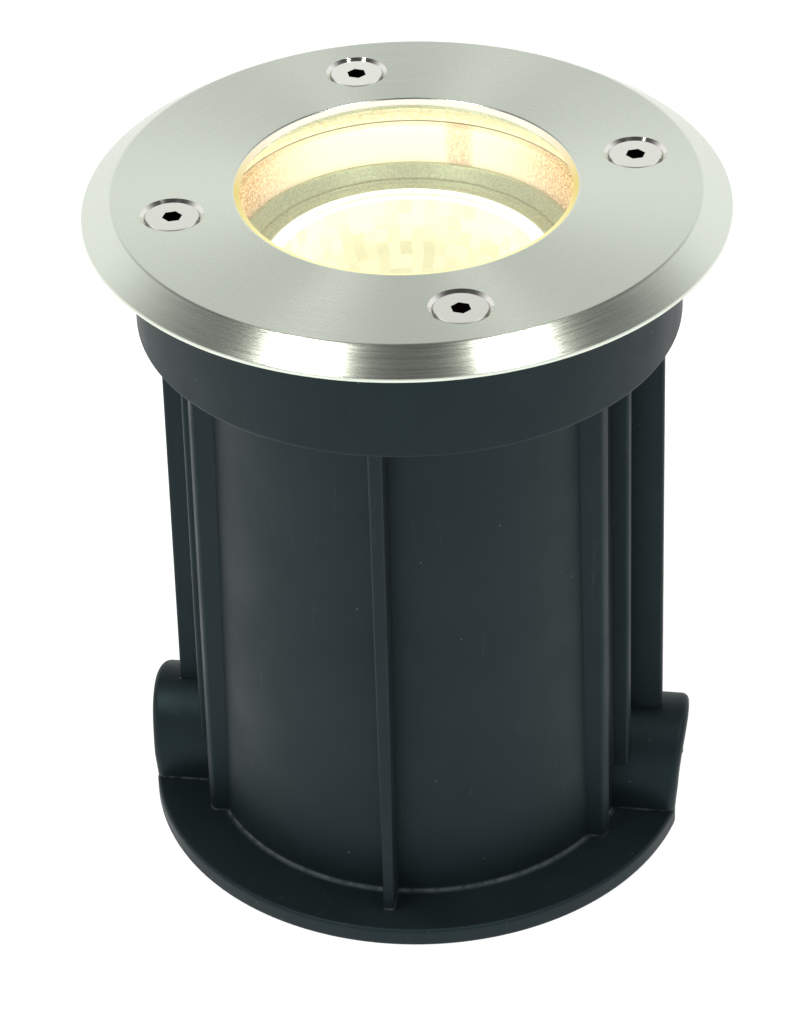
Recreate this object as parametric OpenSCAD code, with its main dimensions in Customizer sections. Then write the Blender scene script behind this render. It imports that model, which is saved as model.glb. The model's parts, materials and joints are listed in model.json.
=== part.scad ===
// Recessed outdoor spotlight: a moulded mounting pot with a light unit that drops into it.
// Millimetres. The origin is the centre of the foot's underside, +Z points up,
// the two cable arches lie along X and the front rib faces -Y.

/* [Pot] */
// Height of the pot, foot to collar rim
pot_h = 119.4; // [112:0.1:128]
// Collar wall beyond the canister's rim flange
collar_over = 0.3; // [0.2:0.1:1.2]
// Collar height
collar_h = 16.4; // [13:0.1:20]
// Collar wall
collar_wall = 2.3; // [1.8:0.1:3]
// Room between the canister and the body's wall under the collar
pot_room = 2.0; // [1.2:0.1:3]
// Growth of the body's radius from the collar to the foot
body_taper = 1.5; // [0.5:0.1:2.5]
// Body wall
body_wall = 2.2; // [1.6:0.1:2.6]
// Width of the foot flange
foot_w = 10.7; // [8:0.1:13]
// Foot flange thickness
foot_t = 3.4; // [2.5:0.1:5]
// Fillet between body and foot flange
foot_fillet = 1.2; // [0.6:0.1:2]
// Small rounding on the moulded edges
edge_round = 0.5; // [0.3:0.1:0.8]

/* [Pot ribs] */
// How far the front and back ribs stay inside the collar
main_rib_inset = 3.5; // [2:0.1:5]
// Front and back rib thickness at the collar
main_rib_top_t = 2.5; // [1.8:0.1:3.2]
// Front and back rib thickness at the foot
main_rib_foot_t = 2.0; // [1.5:0.1:3]
// How far the ribs that stand on the arches stay inside the collar
arch_rib_inset = 2.8; // [2:0.1:5]
// Thickness of the ribs that stand on the arches
arch_rib_t = 2.4; // [1.8:0.1:3]
// How far the low ribs beside them stand out from the body under the collar
low_rib_out = 2.9; // [2.2:0.1:4]
// Thickness of the low ribs
low_rib_t = 1.9; // [1.5:0.1:2.5]
// Outer face of the low ribs from the middle plane
low_rib_offset = 10.5; // [8:0.1:11.5]
// How far the flank ribs stand out from the body under the collar
flank_rib_out = 3.2; // [2.4:0.1:4.6]
// Thickness of the flank ribs
flank_rib_t = 2.0; // [1.5:0.1:3]
// Outer face of the flank ribs from the middle plane
flank_rib_offset = 20.2; // [16:0.1:26]
// Growth of the ribs' reach from the collar to the foot
rib_draft = 0.9; // [0:0.1:1.5]

/* [Cable arches] */
// How far the arches' ends stand back from the foot flange's edge
arch_back = 0.2; // [0:0.1:1]
// Outside width of each cable arch
arch_w = 23.8; // [20:0.1:28]
// Height of the arch crest above the ground
arch_h = 18.9; // [15:0.1:22]
// Wall of the arch
arch_wall = 2.0; // [1.5:0.1:3]
// Rounding of the arch's outer rim
arch_rim = 1.4; // [0.8:0.1:2]

/* [Bezel] */
// Width of the chamfer
chamfer_w = 5; // [3:0.1:7]
// Bezel thickness at its edge
bezel_t = 4.0; // [3.6:0.1:5]
// Flat face beyond the screw circle
bezel_land = 10; // [7:0.1:13]
// Drop of the chamfer
chamfer_drop = 3.4; // [1.5:0.1:3.4]
// How far the opening's edge reaches inside the canister's bore
opening_inset = 1.0; // [0.6:0.1:2]
// Plate thickness round the opening
opening_t = 2.0; // [1.2:0.1:2.4]
// Broken edge of the opening
opening_break = 0.4; // [0.2:0.05:0.6]
// Depth of the recess that takes the canister's rim
rim_recess = 0.5; // [0.3:0.05:0.8]

/* [Cover screws] */
// Number of cover screws
screw_count = 4; // [4]
// Distance of the screw circle from the gasket's seat
screw_land = 4.6; // [4.4:0.1:6]
// Shank diameter
screw_d = 5.0; // [4:0.5:5]
// Head diameter
screw_head_d = 9.2; // [8:0.1:9.4]
// Depth of the head below the bezel's face
screw_sink = 0.3; // [0.1:0.05:0.4]
// Screw length over all
screw_len = 15.2; // [12:0.1:16]
// Hexagon socket across the flats
socket_af = 3.0; // [2.5:0.1:3.5]
// Depth of the hexagon socket
socket_depth = 2.2; // [1.5:0.1:2.6]
// Turn of the whole light unit in the pot
unit_turn = 20.4; // [0:0.1:90]

/* [Glass and gasket] */
// How far the glass overlaps the canister's bore edge
glass_lap = 3.6; // [2.8:0.1:4.4]
// Glass thickness
glass_t = 6.0; // [4:0.1:8]
// Chamfer on the glass edge
glass_chamfer = 0.6; // [0.3:0.1:1]
// Gasket lip thickness
gasket_lip = 0.6; // [0.4:0.1:1]
// Gasket lip width over the glass
gasket_lap = 2.2; // [1.5:0.1:3]
// Gasket wall outside the glass
gasket_wall = 1.2; // [0.8:0.1:1.3]

/* [Canister] */
// Wall of the canister
canister_wall = 3.0; // [2.4:0.1:3.6]
// Room between the lamp and the bore that shows below the glass
lamp_room = 5.0; // [4.8:0.1:5.6]
// Step in to the narrower bore below the lamp ring
bore_step = 1.4; // [1:0.1:2]
// Rim flange beyond the screw circle
rim_land = 6.6; // [5.5:0.1:8]
// Rim flange thickness
rim_t = 3.5; // [2.4:0.1:4]
// Wall of the neck round the gasket's seat
neck_wall = 1.9; // [1.6:0.1:2]
// Height of the neck
neck_h = 12.2; // [10:0.1:14]
// Floor thickness
floor_t = 3.0; // [2.5:0.1:4]
// Rounding of the canister's bottom edge
canister_round = 3.0; // [1.5:0.1:4]
// Diameter of the screw bosses
boss_d = 8.8; // [8.4:0.1:9.2]
// Length of the screw bosses
boss_h = 14.7; // [13:0.1:18]

/* [Lamp ring] */
// Depth of the ring's outer edge below the bezel's face
ring_depth = 16.5; // [15.5:0.1:17.5]
// Fall of the ring from its edge to the lamp
ring_fall = 2.8; // [2:0.1:3.2]
// Sheet thickness of the ring
ring_t = 0.8; // [0.6:0.1:1]
// Height of the ring's skirt
ring_skirt = 4.5; // [3.6:0.1:6]

/* [Lamp] */
// Lamp front diameter
lamp_d = 50; // [48:0.1:50.2]
// Lamp length from front to base, without pins
lamp_len = 45.7; // [44:0.1:47]
// Lamp rim height
lamp_rim_h = 2.4; // [1.8:0.1:3]
// Wall of the glass reflector
lamp_wall = 1.4; // [1:0.1:1.8]
// Lamp front glass thickness
lamp_glass_t = 1.5; // [1:0.1:2]
// Diameter of the lamp base
lamp_base_d = 24.4; // [22:0.1:26]
// Width across the flats of the lamp base
lamp_base_flat = 17; // [16:0.1:20]
// Height of the lamp base
lamp_base_h = 15; // [12:0.1:17]
// Distance between the contact pins
pin_pitch = 10; // [10]
// Pin shaft diameter
pin_d = 3.0; // [2.6:0.1:3.2]
// Pin head diameter
pin_head_d = 5.0; // [4.6:0.1:5.2]
// Pin length
pin_len = 6.8; // [6:0.1:7]
// Pin head height
pin_head_h = 2.6; // [2:0.1:3]
// Twist that locks the lamp
twist_angle = 25; // [15:1:35]
// Capsule diameter
capsule_d = 8.5; // [7:0.1:9]
// Capsule length above the base
capsule_len = 21; // [16:0.5:24]

/* [Lamp holder] */
// Holder diameter
holder_d = 27; // [26:0.1:28]
// Holder height
holder_h = 13.5; // [12:0.1:14.5]
// Thickness of the holder's slotted cap
holder_roof = 2.5; // [2:0.1:3]
// Edge of the bracket strip beside its window
bracket_edge = 0.8; // [0.6:0.1:1.4]
// Bracket strip thickness
bracket_t = 1.2; // [1:0.1:1.6]
// Room between the bracket posts' centres and the bore's wall
post_room = 8.6; // [7.6:0.1:9.6]
// Diameter of the bracket posts
post_d = 6.4; // [5.5:0.1:7]
// Height of the bracket posts
post_h = 11.0; // [10:0.1:14]
// Diameter of the small screws
small_screw_d = 3.0; // [2.5:0.1:3]
// Diameter of their heads
small_head_d = 5.6; // [5:0.1:6]
// Height of their heads
small_head_h = 1.8; // [1.4:0.1:2.2]
// Distance of the holder screws from the axis
holder_screw_offset = 10; // [9.8:0.1:10.6]

/* [Terminals] */
// Spacing of the three poles
pole_pitch = 7.2; // [6.8:0.1:7.4]
// Width of one pole of the block
pole_w = 6.0; // [5.4:0.1:6.4]
// Depth of the block along the leads
block_depth = 8.5; // [7.5:0.1:9]
// Height of the block
block_h = 12.5; // [11:0.1:14]
// Height of the webs between the poles
web_h = 8; // [7.6:0.1:9]
// Clamping tube diameter
tube_d = 3.6; // [3.4:0.1:3.8]
// Clamping tube bore
tube_bore = 2.8; // [2.6:0.1:3]
// Height of the poles' axis above the pad
pole_h = 5.5; // [4.5:0.1:6.5]
// Room between the block and the bore's wall
block_room = 3.1; // [2.6:0.1:3.6]
// Sleeved lead diameter
lead_d = 2.2; // [1.8:0.1:2.4]

/* [Earth] */
// Room between the earth boss's centre and the bore's wall
earth_room = 7.6; // [7:0.1:8.6]
// Height of the earth boss above the floor
earth_boss_h = 8; // [6:0.1:9]
// Earth boss diameter
earth_boss_d = 7.6; // [7:0.1:9]
// Earth screw diameter
earth_screw_d = 4.0; // [3:0.5:4]
// Direction of the lug's barrel
lug_angle = 130; // [120:1:140]
// Lug sheet thickness
lug_t = 0.8; // [0.6:0.1:1]

/* [Cable gland] */
// Thread diameter
gland_d = 16; // [16]
// Hexagon across the flats
gland_af = 20; // [18:0.5:21]
// Height of the gland's fixed hexagon
gland_hex_h = 4.5; // [4:0.1:6]
// Seal washer thickness
washer_t = 1.5; // [1:0.1:2]
// Clamping nut height
gland_nut_h = 14.7; // [13:0.1:16]
// Hexagon height of the clamping nut
gland_nut_hex_h = 9; // [8:0.1:10]
// Bore of the seal that grips the cable
cable_d = 8; // [6:0.1:9]
// Locknut height
locknut_h = 4; // [3:0.1:5]
// Length of the slits between the gland's claws
claw_slit_h = 4; // [3:0.1:5]

/* [Clearances] */
// Gap between seated pieces on different bodies
seat_gap = 0.3; // [0.2:0.05:0.4]
// Radial running clearance of screws and threads
run_gap = 0.06; // [0.04:0.01:0.1]
// Radial clearance of loose fits
loose_gap = 0.2; // [0.1:0.05:0.3]

/* [Hidden] */
$fn = 96;

// One overrun serves every cut
cut = 1;
// Sides of the round children of a hull
hull_fn = 32;
// Steps in a rounded corner of an outline
round_steps = 6;

// Levels, from the ground up
collar_z = pot_h - collar_h;
shelf_z = collar_z + collar_wall;
rim_z = pot_h + seat_gap;
canister_top = rim_z + rim_t;
recess_z = canister_top + seat_gap;
bezel_z = recess_z - rim_recess;
top_z = bezel_z + bezel_t;
glass_roof_z = top_z - opening_t;
glass_z = glass_roof_z - gasket_lip - glass_t;
gasket_z = glass_z - gasket_lip;
seat_z = gasket_z - seat_gap;
ring_top_z = top_z - ring_depth;
ring_z = ring_top_z - ring_skirt;
lamp_top_z = ring_top_z - ring_fall;
lamp_z = lamp_top_z - lamp_len;
holder_top_z = lamp_z - seat_gap;
holder_z = holder_top_z - holder_h;
bracket_z = holder_z - bracket_t;
floor_z = bracket_z - post_h;
canister_z = floor_z - floor_t;
pole_z = bracket_z + pole_h;
earth_z = floor_z + earth_boss_h;
washer_z = canister_z - washer_t;
gland_hex_z = washer_z - gland_hex_h;
gland_nut_top = gland_hex_z - seat_gap;
gland_nut_z = gland_nut_top - gland_nut_h;

// Radii, from the lamp outwards
lamp_r = lamp_d / 2;
bore_r = lamp_r + lamp_room;
low_bore_r = bore_r - bore_step;
canister_r = bore_r + canister_wall;
glass_r = bore_r + glass_lap;
gasket_r = glass_r + loose_gap + gasket_wall;
seat_r = gasket_r + 2 * loose_gap;
neck_r = seat_r + neck_wall;
pocket_r = seat_r + seat_gap;
screw_r = seat_r + screw_land;
rim_r = screw_r + rim_land;
opening_r = bore_r - opening_inset;
bezel_flat_r = screw_r + bezel_land;
bezel_r = bezel_flat_r + chamfer_w;
ring_r = bore_r - loose_gap;
collar_r = rim_r + collar_over;
collar_in_r = collar_r - collar_wall;
body_in_top_r = canister_r + pot_room;
body_in_foot_r = body_in_top_r + body_taper;
body_top_r = body_in_top_r + body_wall;
body_foot_r = body_top_r + body_taper;
foot_r = body_foot_r + foot_w;
arch_r = arch_w / 2;
arch_axis_z = arch_h - arch_r;
arch_reach = foot_r - arch_back;
main_rib_reach = collar_r - main_rib_inset;
arch_rib_reach = collar_r - arch_rib_inset;
low_rib_reach = body_top_r + low_rib_out;
flank_rib_reach = body_top_r + flank_rib_out;
post_offset = low_bore_r - post_room;
earth_offset = low_bore_r - earth_room;
block_near = low_bore_r - block_room - block_depth;
ring_in_r = lamp_r + 2 * loose_gap;
hex_out = 1 / cos(30);
gland_r = gland_d / 2;
gland_bore_r = cable_d / 2 + 1.5 * loose_gap + gasket_wall;
cap_thread_r = gland_r + 3 * loose_gap;
nut_floor_t = 2;
nut_hollow_z = gland_nut_z + nut_floor_t;
claw_tip_t = 0.8;
claw_count = 8;
claw_slit_w = 0.8;
gland_mouth_r = cable_d / 2 + 3 * loose_gap;
claw_z = nut_hollow_z + 2 * loose_gap + claw_tip_t;
cap_z = nut_hollow_z + 2 * loose_gap + cap_thread_r - gland_bore_r;
lead_r = lead_d / 2;
pin_r = pin_d / 2;
small_r = small_screw_d / 2;
small_hole_r = small_r + run_gap;
block_half = pole_pitch + pole_w / 2;
clamp_y = [block_near + block_depth / 4, block_near + block_depth * 3 / 4];

function arc_pts(cx, cy, r, a0, a1, n = round_steps) =
    [for (i = [0:n]) let (a = a0 + (a1 - a0) * i / n) [cx + r * cos(a), cy + r * sin(a)]];

// Everything in the light unit turns with it
module in_unit() rotate([0, 0, unit_turn]) children();

module ring_of(r_out, r_in, z, h) {
    translate([0, 0, z]) difference() {
        cylinder(r = r_out, h = h);
        translate([0, 0, -cut]) cylinder(r = r_in, h = h + 2 * cut);
    }
}

// Hexagonal prism by its width across the flats
module hex_bar(af, z, h) {
    translate([0, 0, z]) cylinder(r = af / 2 * hex_out, h = h, $fn = 6);
}

// A screw that stands on its tip: round head on a plain shank, driven by a slot
module pan_screw(d, head_d, head_h, len, slot_w, slot_h) {
    difference() {
        union() {
            cylinder(d = d, h = len);
            translate([0, 0, len]) cylinder(d = head_d, h = head_h);
        }
        translate([-head_d, -slot_w / 2, len + head_h - slot_h])
            cube([2 * head_d, slot_w, slot_h + cut]);
    }
}

// Mounting pot

// The pot is one moulding, made here as five solids that meet face to face: its body, collar,
// foot, ribs and arches. Each then has a simple shape that collision can follow.
pot_colour = [0.16, 0.21, 0.23];

// Filled cone of the body's outside
module body_cone() cylinder(r1 = body_foot_r, r2 = body_top_r, h = collar_z);

// One hollow runs through foot, body and collar
module pot_hollow() {
    slope_share = body_taper / shelf_z;
    rotate_extrude() polygon([
        [0, -cut], [body_in_foot_r + cut * slope_share, -cut], [body_in_top_r, shelf_z],
        [collar_in_r, shelf_z], [collar_in_r, pot_h + cut], [0, pot_h + cut]]);
}

module arch_outline(r) {
    translate([0, arch_axis_z]) circle(r = r);
    translate([-r, 0]) square([2 * r, arch_axis_z]);
}

// Both ways out for the cable, through body, foot and arches
module arch_tunnels() {
    r = arch_r - arch_wall;
    for (end = [0, 180]) rotate([0, 0, end]) translate([0, 0, -cut]) rotate([90, 0, 90])
        linear_extrude(height = arch_reach + cut) {
            translate([0, arch_axis_z + cut]) circle(r = r);
            translate([-r, -cut]) square([2 * r, arch_axis_z + 2 * cut]);
        }
}

module pot_body() {
    color(pot_colour) difference() {
        body_cone();
        pot_hollow();
        arch_tunnels();
    }
}

module pot_collar() {
    color(pot_colour) difference() {
        rotate_extrude() polygon(concat([[0, collar_z]],
            arc_pts(collar_r - edge_round, collar_z + edge_round, edge_round, -90, 0),
            arc_pts(collar_r - edge_round, pot_h - edge_round, edge_round, 0, 90),
            [[0, pot_h]]));
        pot_hollow();
    }
}

// Foot flange with its fillet against the body, before the tunnels
module foot_ring() {
    fillet_top = foot_t + foot_fillet;
    fillet_r = body_foot_r - body_taper * fillet_top / collar_z + foot_fillet - run_gap;
    difference() {
        rotate_extrude() polygon(concat(
            [[body_in_foot_r, 0], [foot_r - edge_round, 0]],
            arc_pts(foot_r - edge_round, edge_round, edge_round, -90, 0),
            arc_pts(foot_r - edge_round, foot_t - edge_round, edge_round, 0, 90),
            arc_pts(fillet_r, fillet_top, foot_fillet, 270, 180),
            [[body_in_foot_r, fillet_top]]));
        body_cone();
    }
}

module pot_foot() {
    color(pot_colour) difference() {
        foot_ring();
        arch_tunnels();
    }
}

// Upright plate along X on one side, its outer face at y, ended by a round of the given reach
module side_rib(reach, y, t) {
    intersection() {
        cylinder(r1 = reach + rib_draft, r2 = reach, h = collar_z);
        translate([0, y - t, foot_t]) cube([reach + rib_draft, t, collar_z - foot_t]);
    }
}

// Front rib: a plate that thins towards the foot
module main_rib() {
    half_top = main_rib_top_t / 2;
    half_foot = main_rib_foot_t / 2;
    intersection() {
        cylinder(r1 = main_rib_reach + rib_draft, r2 = main_rib_reach, h = collar_z);
        rotate([90, 0, 0]) linear_extrude(height = main_rib_reach + rib_draft)
            polygon([[-half_foot, foot_t], [half_foot, foot_t], [half_top, collar_z], [-half_top, collar_z]]);
    }
}

module pot_ribs() {
    color(pot_colour) difference() {
        for (end = [0, 180]) rotate([0, 0, end]) {
            main_rib();
            side_rib(arch_rib_reach, arch_rib_t / 2, arch_rib_t);
            for (side = [0, 1]) mirror([0, side, 0]) {
                side_rib(low_rib_reach, low_rib_offset, low_rib_t);
                side_rib(flank_rib_reach, flank_rib_offset, flank_rib_t);
            }
        }
        body_cone();
        foot_ring();
        for (end = [0, 180]) rotate([0, 0, end]) rotate([90, 0, 90])
            linear_extrude(height = arch_reach) arch_outline(arch_r);
    }
}

// Outer skin of one arch, a little smaller where it reaches furthest, which rounds its rim
module arch_skin(inset) {
    intersection() {
        rotate([90, 0, 90]) linear_extrude(height = arch_reach) arch_outline(arch_r - inset);
        cylinder(r = arch_reach - arch_rim + inset, h = arch_h);
    }
}

module arch() {
    inset_share = 1 - cos(45);
    hull() {
        arch_skin(0, $fn = hull_fn);
        arch_skin(arch_rim * inset_share * 2, $fn = hull_fn);
    }
}

// Two covers for the cable, which stand on the foot flange and lean on the body
module cable_arches() {
    color(pot_colour) difference() {
        for (end = [0, 180]) rotate([0, 0, end]) arch();
        body_cone();
        foot_ring();
        translate([0, 0, -cut]) cylinder(r = arch_reach + cut, h = foot_t + cut);
        arch_tunnels();
    }
}

// Cover

module bezel() {
    countersink_r = screw_head_d / 2 + run_gap + screw_sink + screw_edge;
    hole_r = screw_d / 2 + seat_gap;
    recess_r = collar_r + seat_gap;
    color([0.80, 0.80, 0.78]) in_unit() difference() {
        rotate_extrude() polygon([
            [opening_r, glass_roof_z], [opening_r, top_z - opening_break],
            [opening_r + opening_break, top_z], [bezel_flat_r, top_z],
            [bezel_r, top_z - chamfer_drop], [bezel_r, bezel_z], [recess_r, bezel_z],
            [recess_r, recess_z], [pocket_r, recess_z], [pocket_r, glass_roof_z]]);
        for (i = [0:screw_count - 1]) rotate([0, 0, 360 / screw_count * i]) {
            translate([screw_r, 0, bezel_z - cut]) cylinder(r = hole_r, h = bezel_t + 2 * cut);
            translate([screw_r, 0, top_z - countersink_r + hole_r])
                cylinder(r1 = hole_r, r2 = countersink_r + cut, h = countersink_r - hole_r + cut);
        }
    }
}

// Height of the cylindrical rim of a countersunk head
screw_edge = 0.4;

module cover_screw(place) {
    head_r = screw_head_d / 2;
    shank_r = screw_d / 2;
    head_top = top_z - screw_sink;
    color([0.84, 0.85, 0.84]) in_unit() rotate([0, 0, 360 / screw_count * place])
        translate([screw_r, 0, 0]) difference() {
            rotate_extrude() polygon([
                [0, head_top - screw_len], [shank_r - screw_edge, head_top - screw_len],
                [shank_r, head_top - screw_len + screw_edge],
                [shank_r, head_top - screw_edge - head_r + shank_r],
                [head_r, head_top - screw_edge], [head_r, head_top], [0, head_top]]);
            hex_bar(socket_af, head_top - socket_depth, socket_depth + cut);
        }
}

module glass_lens() {
    top = glass_z + glass_t;
    color([0.90, 0.94, 0.92, 0.35]) in_unit() rotate_extrude() polygon([
        [0, glass_z], [glass_r - glass_chamfer, glass_z], [glass_r, glass_z + glass_chamfer],
        [glass_r, top - glass_chamfer], [glass_r - glass_chamfer, top], [0, top]]);
}

module glass_gasket() {
    groove_r = glass_r + run_gap;
    lip_r = glass_r - gasket_lap;
    color([0.92, 0.90, 0.86]) in_unit() difference() {
        ring_of(gasket_r, lip_r, gasket_z, glass_t + 2 * gasket_lip);
        translate([0, 0, glass_z]) cylinder(r = groove_r, h = glass_t);
    }
}

// Light unit

// The canister is one casting too, made as its cup, its rim with the bosses, and its floor posts

canister_colour = [0.55, 0.55, 0.53];

// Cup with a neck round the gasket's seat
module canister_cup() {
    slope = neck_r - canister_r;
    neck_z = canister_top - neck_h;
    inner_round = canister_round - floor_t / 3;
    rotate_extrude() polygon(concat(
        [[0, canister_z]],
        arc_pts(canister_r - canister_round, canister_z + canister_round, canister_round, -90, 0),
        [[canister_r, neck_z - slope], [neck_r, neck_z], [neck_r, canister_top],
            [seat_r, canister_top], [seat_r, seat_z], [bore_r, seat_z], [bore_r, ring_z - seat_gap],
            [low_bore_r, ring_z - seat_gap]],
        arc_pts(low_bore_r - inner_round, floor_z + inner_round, inner_round, 0, -90),
        [[0, floor_z]]));
}

module lamp_canister() {
    color(canister_colour) in_unit() difference() {
        canister_cup();
        translate([0, 0, canister_z - cut])
            cylinder(r = gland_r + loose_gap, h = floor_t + 2 * cut);
    }
}

// Flange that rests over the pot's collar, with a boss for each cover screw
module canister_rim() {
    boss_z = canister_top - boss_h;
    color(canister_colour) in_unit() difference() {
        union() {
            rotate_extrude() polygon(concat([[0, rim_z]],
                arc_pts(rim_r - edge_round, rim_z + edge_round, edge_round, -90, 0),
                arc_pts(rim_r - edge_round, canister_top - edge_round, edge_round, 0, 90),
                [[0, canister_top]]));
            for (i = [0:screw_count - 1]) rotate([0, 0, 360 / screw_count * i])
                translate([screw_r, 0, boss_z]) cylinder(d = boss_d, h = boss_h - rim_t / 2);
        }
        translate([0, 0, boss_z - cut]) cylinder(r = neck_r, h = boss_h + 2 * cut);
        for (i = [0:screw_count - 1]) rotate([0, 0, 360 / screw_count * i])
            translate([screw_r, 0, boss_z + floor_t / 2])
                cylinder(r = screw_d / 2 + run_gap, h = boss_h + cut);
    }
}

module terminal_pad() {
    difference() {
        intersection() {
            translate([-block_half, block_near - loose_gap, floor_z])
                cube([2 * block_half, canister_r, post_h]);
            translate([0, 0, floor_z]) cylinder(r = canister_r, h = post_h);
        }
        canister_cup();
    }
}

// What stands on the canister's floor: two bracket posts, the earth boss and the terminal pad
module floor_posts() {
    color(canister_colour) in_unit() difference() {
        union() {
            for (side = [-1, 1]) translate([side * post_offset, 0, floor_z])
                cylinder(d = post_d, h = post_h);
            translate([0, -earth_offset, floor_z]) cylinder(d = earth_boss_d, h = earth_boss_h);
            terminal_pad();
        }
        for (side = [-1, 1]) translate([side * post_offset, 0, floor_z + floor_t / 2])
            cylinder(r = small_hole_r, h = post_h);
        translate([0, -earth_offset, earth_z - earth_boss_h + seat_gap / 2])
            cylinder(r = earth_screw_d / 2 + run_gap, h = earth_boss_h + cut);
        translate([pole_pitch / 2, block_near + block_depth / 2, floor_z + floor_t / 2])
            cylinder(r = block_screw_r + run_gap, h = post_h);
    }
}

module lamp_ring() {
    mid_r = (ring_in_r + ring_r) / 2 - ring_t / 2;
    mid_z = ring_top_z - ring_fall * 2 / 3;
    lip_z = lamp_top_z;
    color([0.78, 0.77, 0.74]) in_unit() rotate_extrude() polygon([
        [ring_r, ring_z], [ring_r, ring_top_z], [ring_r - ring_t, ring_top_z],
        [mid_r, mid_z], [mid_r, mid_z - ring_t / 2],
        [ring_in_r, lip_z], [ring_in_r, lip_z - ring_t],
        [mid_r, mid_z - ring_t * 3 / 2], [ring_r - ring_t, ring_top_z - ring_t * 3 / 2],
        [ring_r - ring_t, ring_z]]);
}

// Curved slot on the pins' circle, from 0 to the twist angle, with round ends
module twist_slot(w, z, h) {
    r = pin_pitch / 2;
    end = [r * cos(twist_angle), r * sin(twist_angle)];
    translate([0, 0, z]) linear_extrude(height = h) polygon(concat(
        arc_pts(0, 0, r + w / 2, 0, twist_angle),
        arc_pts(end[0], end[1], w / 2, twist_angle, twist_angle + 180),
        arc_pts(0, 0, r - w / 2, twist_angle, 0),
        arc_pts(r, 0, w / 2, 180, 360)));
}

contact_t = 0.5;
tag_w = 2;

// The ceramic holder has a slotted cap over a base with a well for each pin
holder_cap_z = holder_top_z - holder_roof;
ceramic_colour = [0.93, 0.91, 0.86];

module lamp_holder() {
    well_w = pin_head_d + 3 * loose_gap;
    well_z = lamp_z - pin_len - seat_gap - contact_t;
    color(ceramic_colour) in_unit() difference() {
        translate([0, 0, holder_z]) cylinder(d = holder_d, h = holder_cap_z - holder_z);
        for (side = [0, 180]) rotate([0, 0, side]) {
            twist_slot(well_w, well_z, holder_h);
            translate([pin_pitch / 2 - tag_w / 2 - run_gap, -contact_t / 2 - run_gap, holder_z - cut])
                cube([tag_w + 2 * run_gap, contact_t + 2 * run_gap, well_z - holder_z + 2 * cut]);
            translate([holder_screw_offset, 0, holder_z - cut])
                cylinder(r = small_hole_r, h = holder_h / 2 + cut);
        }
    }
}

module holder_cap() {
    slot_w = pin_d + 2 * loose_gap;
    key_d = pin_head_d + 2 * loose_gap;
    color(ceramic_colour) in_unit() difference() {
        translate([0, 0, holder_cap_z]) cylinder(d = holder_d, h = holder_roof);
        for (side = [0, 180]) rotate([0, 0, side]) {
            twist_slot(slot_w, holder_cap_z - cut, holder_roof + 2 * cut);
            rotate([0, 0, twist_angle]) translate([pin_pitch / 2, 0, holder_cap_z - cut])
                cylinder(d = key_d, h = holder_roof + 2 * cut);
        }
    }
}

// Leaf under each pin and a tag that leaves through the holder's base
module holder_contacts() {
    leaf_w = pin_head_d - loose_gap;
    leaf_z = lamp_z - pin_len - seat_gap - contact_t;
    tag_z = bracket_z - bracket_t;
    color([0.82, 0.72, 0.45]) in_unit() for (side = [0, 180]) rotate([0, 0, side]) {
        twist_slot(leaf_w, leaf_z, contact_t);
        translate([pin_pitch / 2 - tag_w / 2, -contact_t / 2, tag_z])
            cube([tag_w, contact_t, leaf_z - tag_z + contact_t / 2]);
    }
}

module holder_bracket() {
    half = post_offset + post_d / 2;
    window_r = pin_pitch / 2 + tag_w / 2 + loose_gap;
    bracket_w = 2 * (window_r + bracket_edge);
    color([0.72, 0.73, 0.74]) in_unit() translate([0, 0, bracket_z]) difference() {
        union() {
            translate([-post_offset, -bracket_w / 2, 0]) cube([2 * post_offset, bracket_w, bracket_t]);
            for (side = [-1, 1]) translate([side * post_offset, 0, 0]) intersection() {
                cylinder(d = bracket_w, h = bracket_t);
                translate([-half + post_offset, -bracket_w / 2, 0])
                    cube([2 * (half - post_offset), bracket_w, bracket_t]);
            }
        }
        translate([0, 0, -cut]) {
            cylinder(r = window_r, h = bracket_t + 2 * cut);
            for (side = [-1, 1]) {
                for (x = [post_offset, holder_screw_offset]) translate([side * x, 0, 0])
                    cylinder(r = small_hole_r + run_gap, h = bracket_t + 2 * cut);
            }
        }
    }
}

small_slot_w = 0.7;
small_slot_h = 0.9;

module bracket_screws() {
    depth = (bracket_z - floor_z) * 2 / 3;
    color([0.78, 0.79, 0.80]) in_unit() for (side = [-1, 1])
        translate([side * post_offset, 0, bracket_z - depth])
            pan_screw(small_screw_d, small_head_d, small_head_h, depth + bracket_t,
                small_slot_w, small_slot_h);
}

module holder_screws() {
    depth = holder_h / 2 - seat_gap;
    color([0.78, 0.79, 0.80]) in_unit() for (side = [-1, 1])
        translate([side * holder_screw_offset, 0, holder_z + depth]) rotate([180, 0, 0])
            pan_screw(small_screw_d, small_head_d, small_head_h, depth + bracket_t,
                small_slot_w, small_slot_h);
}

// Terminals

block_screw_r = 1.25;
block_head_r = 1.9;
clamp_r = 1.5;
clamp_tip_r = 1.0;
clamp_h = 3;

module terminal_block() {
    pole_r = tube_d / 2 + run_gap;
    color([0.94, 0.94, 0.92]) in_unit() difference() {
        union() {
            for (i = [-1:1]) translate([i * pole_pitch - pole_w / 2, block_near, bracket_z])
                cube([pole_w, block_depth, block_h]);
            translate([-pole_pitch, block_near + loose_gap, bracket_z])
                cube([2 * pole_pitch, block_depth - 2 * loose_gap, web_h]);
        }
        for (i = [-1:1]) translate([i * pole_pitch, 0, 0]) {
            translate([0, block_near - cut, pole_z]) rotate([-90, 0, 0])
                cylinder(r = pole_r, h = block_depth + 2 * cut);
            for (y = clamp_y) translate([0, y, pole_z])
                cylinder(r = clamp_r + run_gap, h = block_h);
        }
        translate([pole_pitch / 2, block_near + block_depth / 2, bracket_z]) {
            translate([0, 0, -cut]) cylinder(r = block_screw_r + run_gap, h = web_h + 2 * cut);
            translate([0, 0, web_h]) cylinder(r = block_head_r + loose_gap / 2, h = block_h);
        }
    }
}

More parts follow.
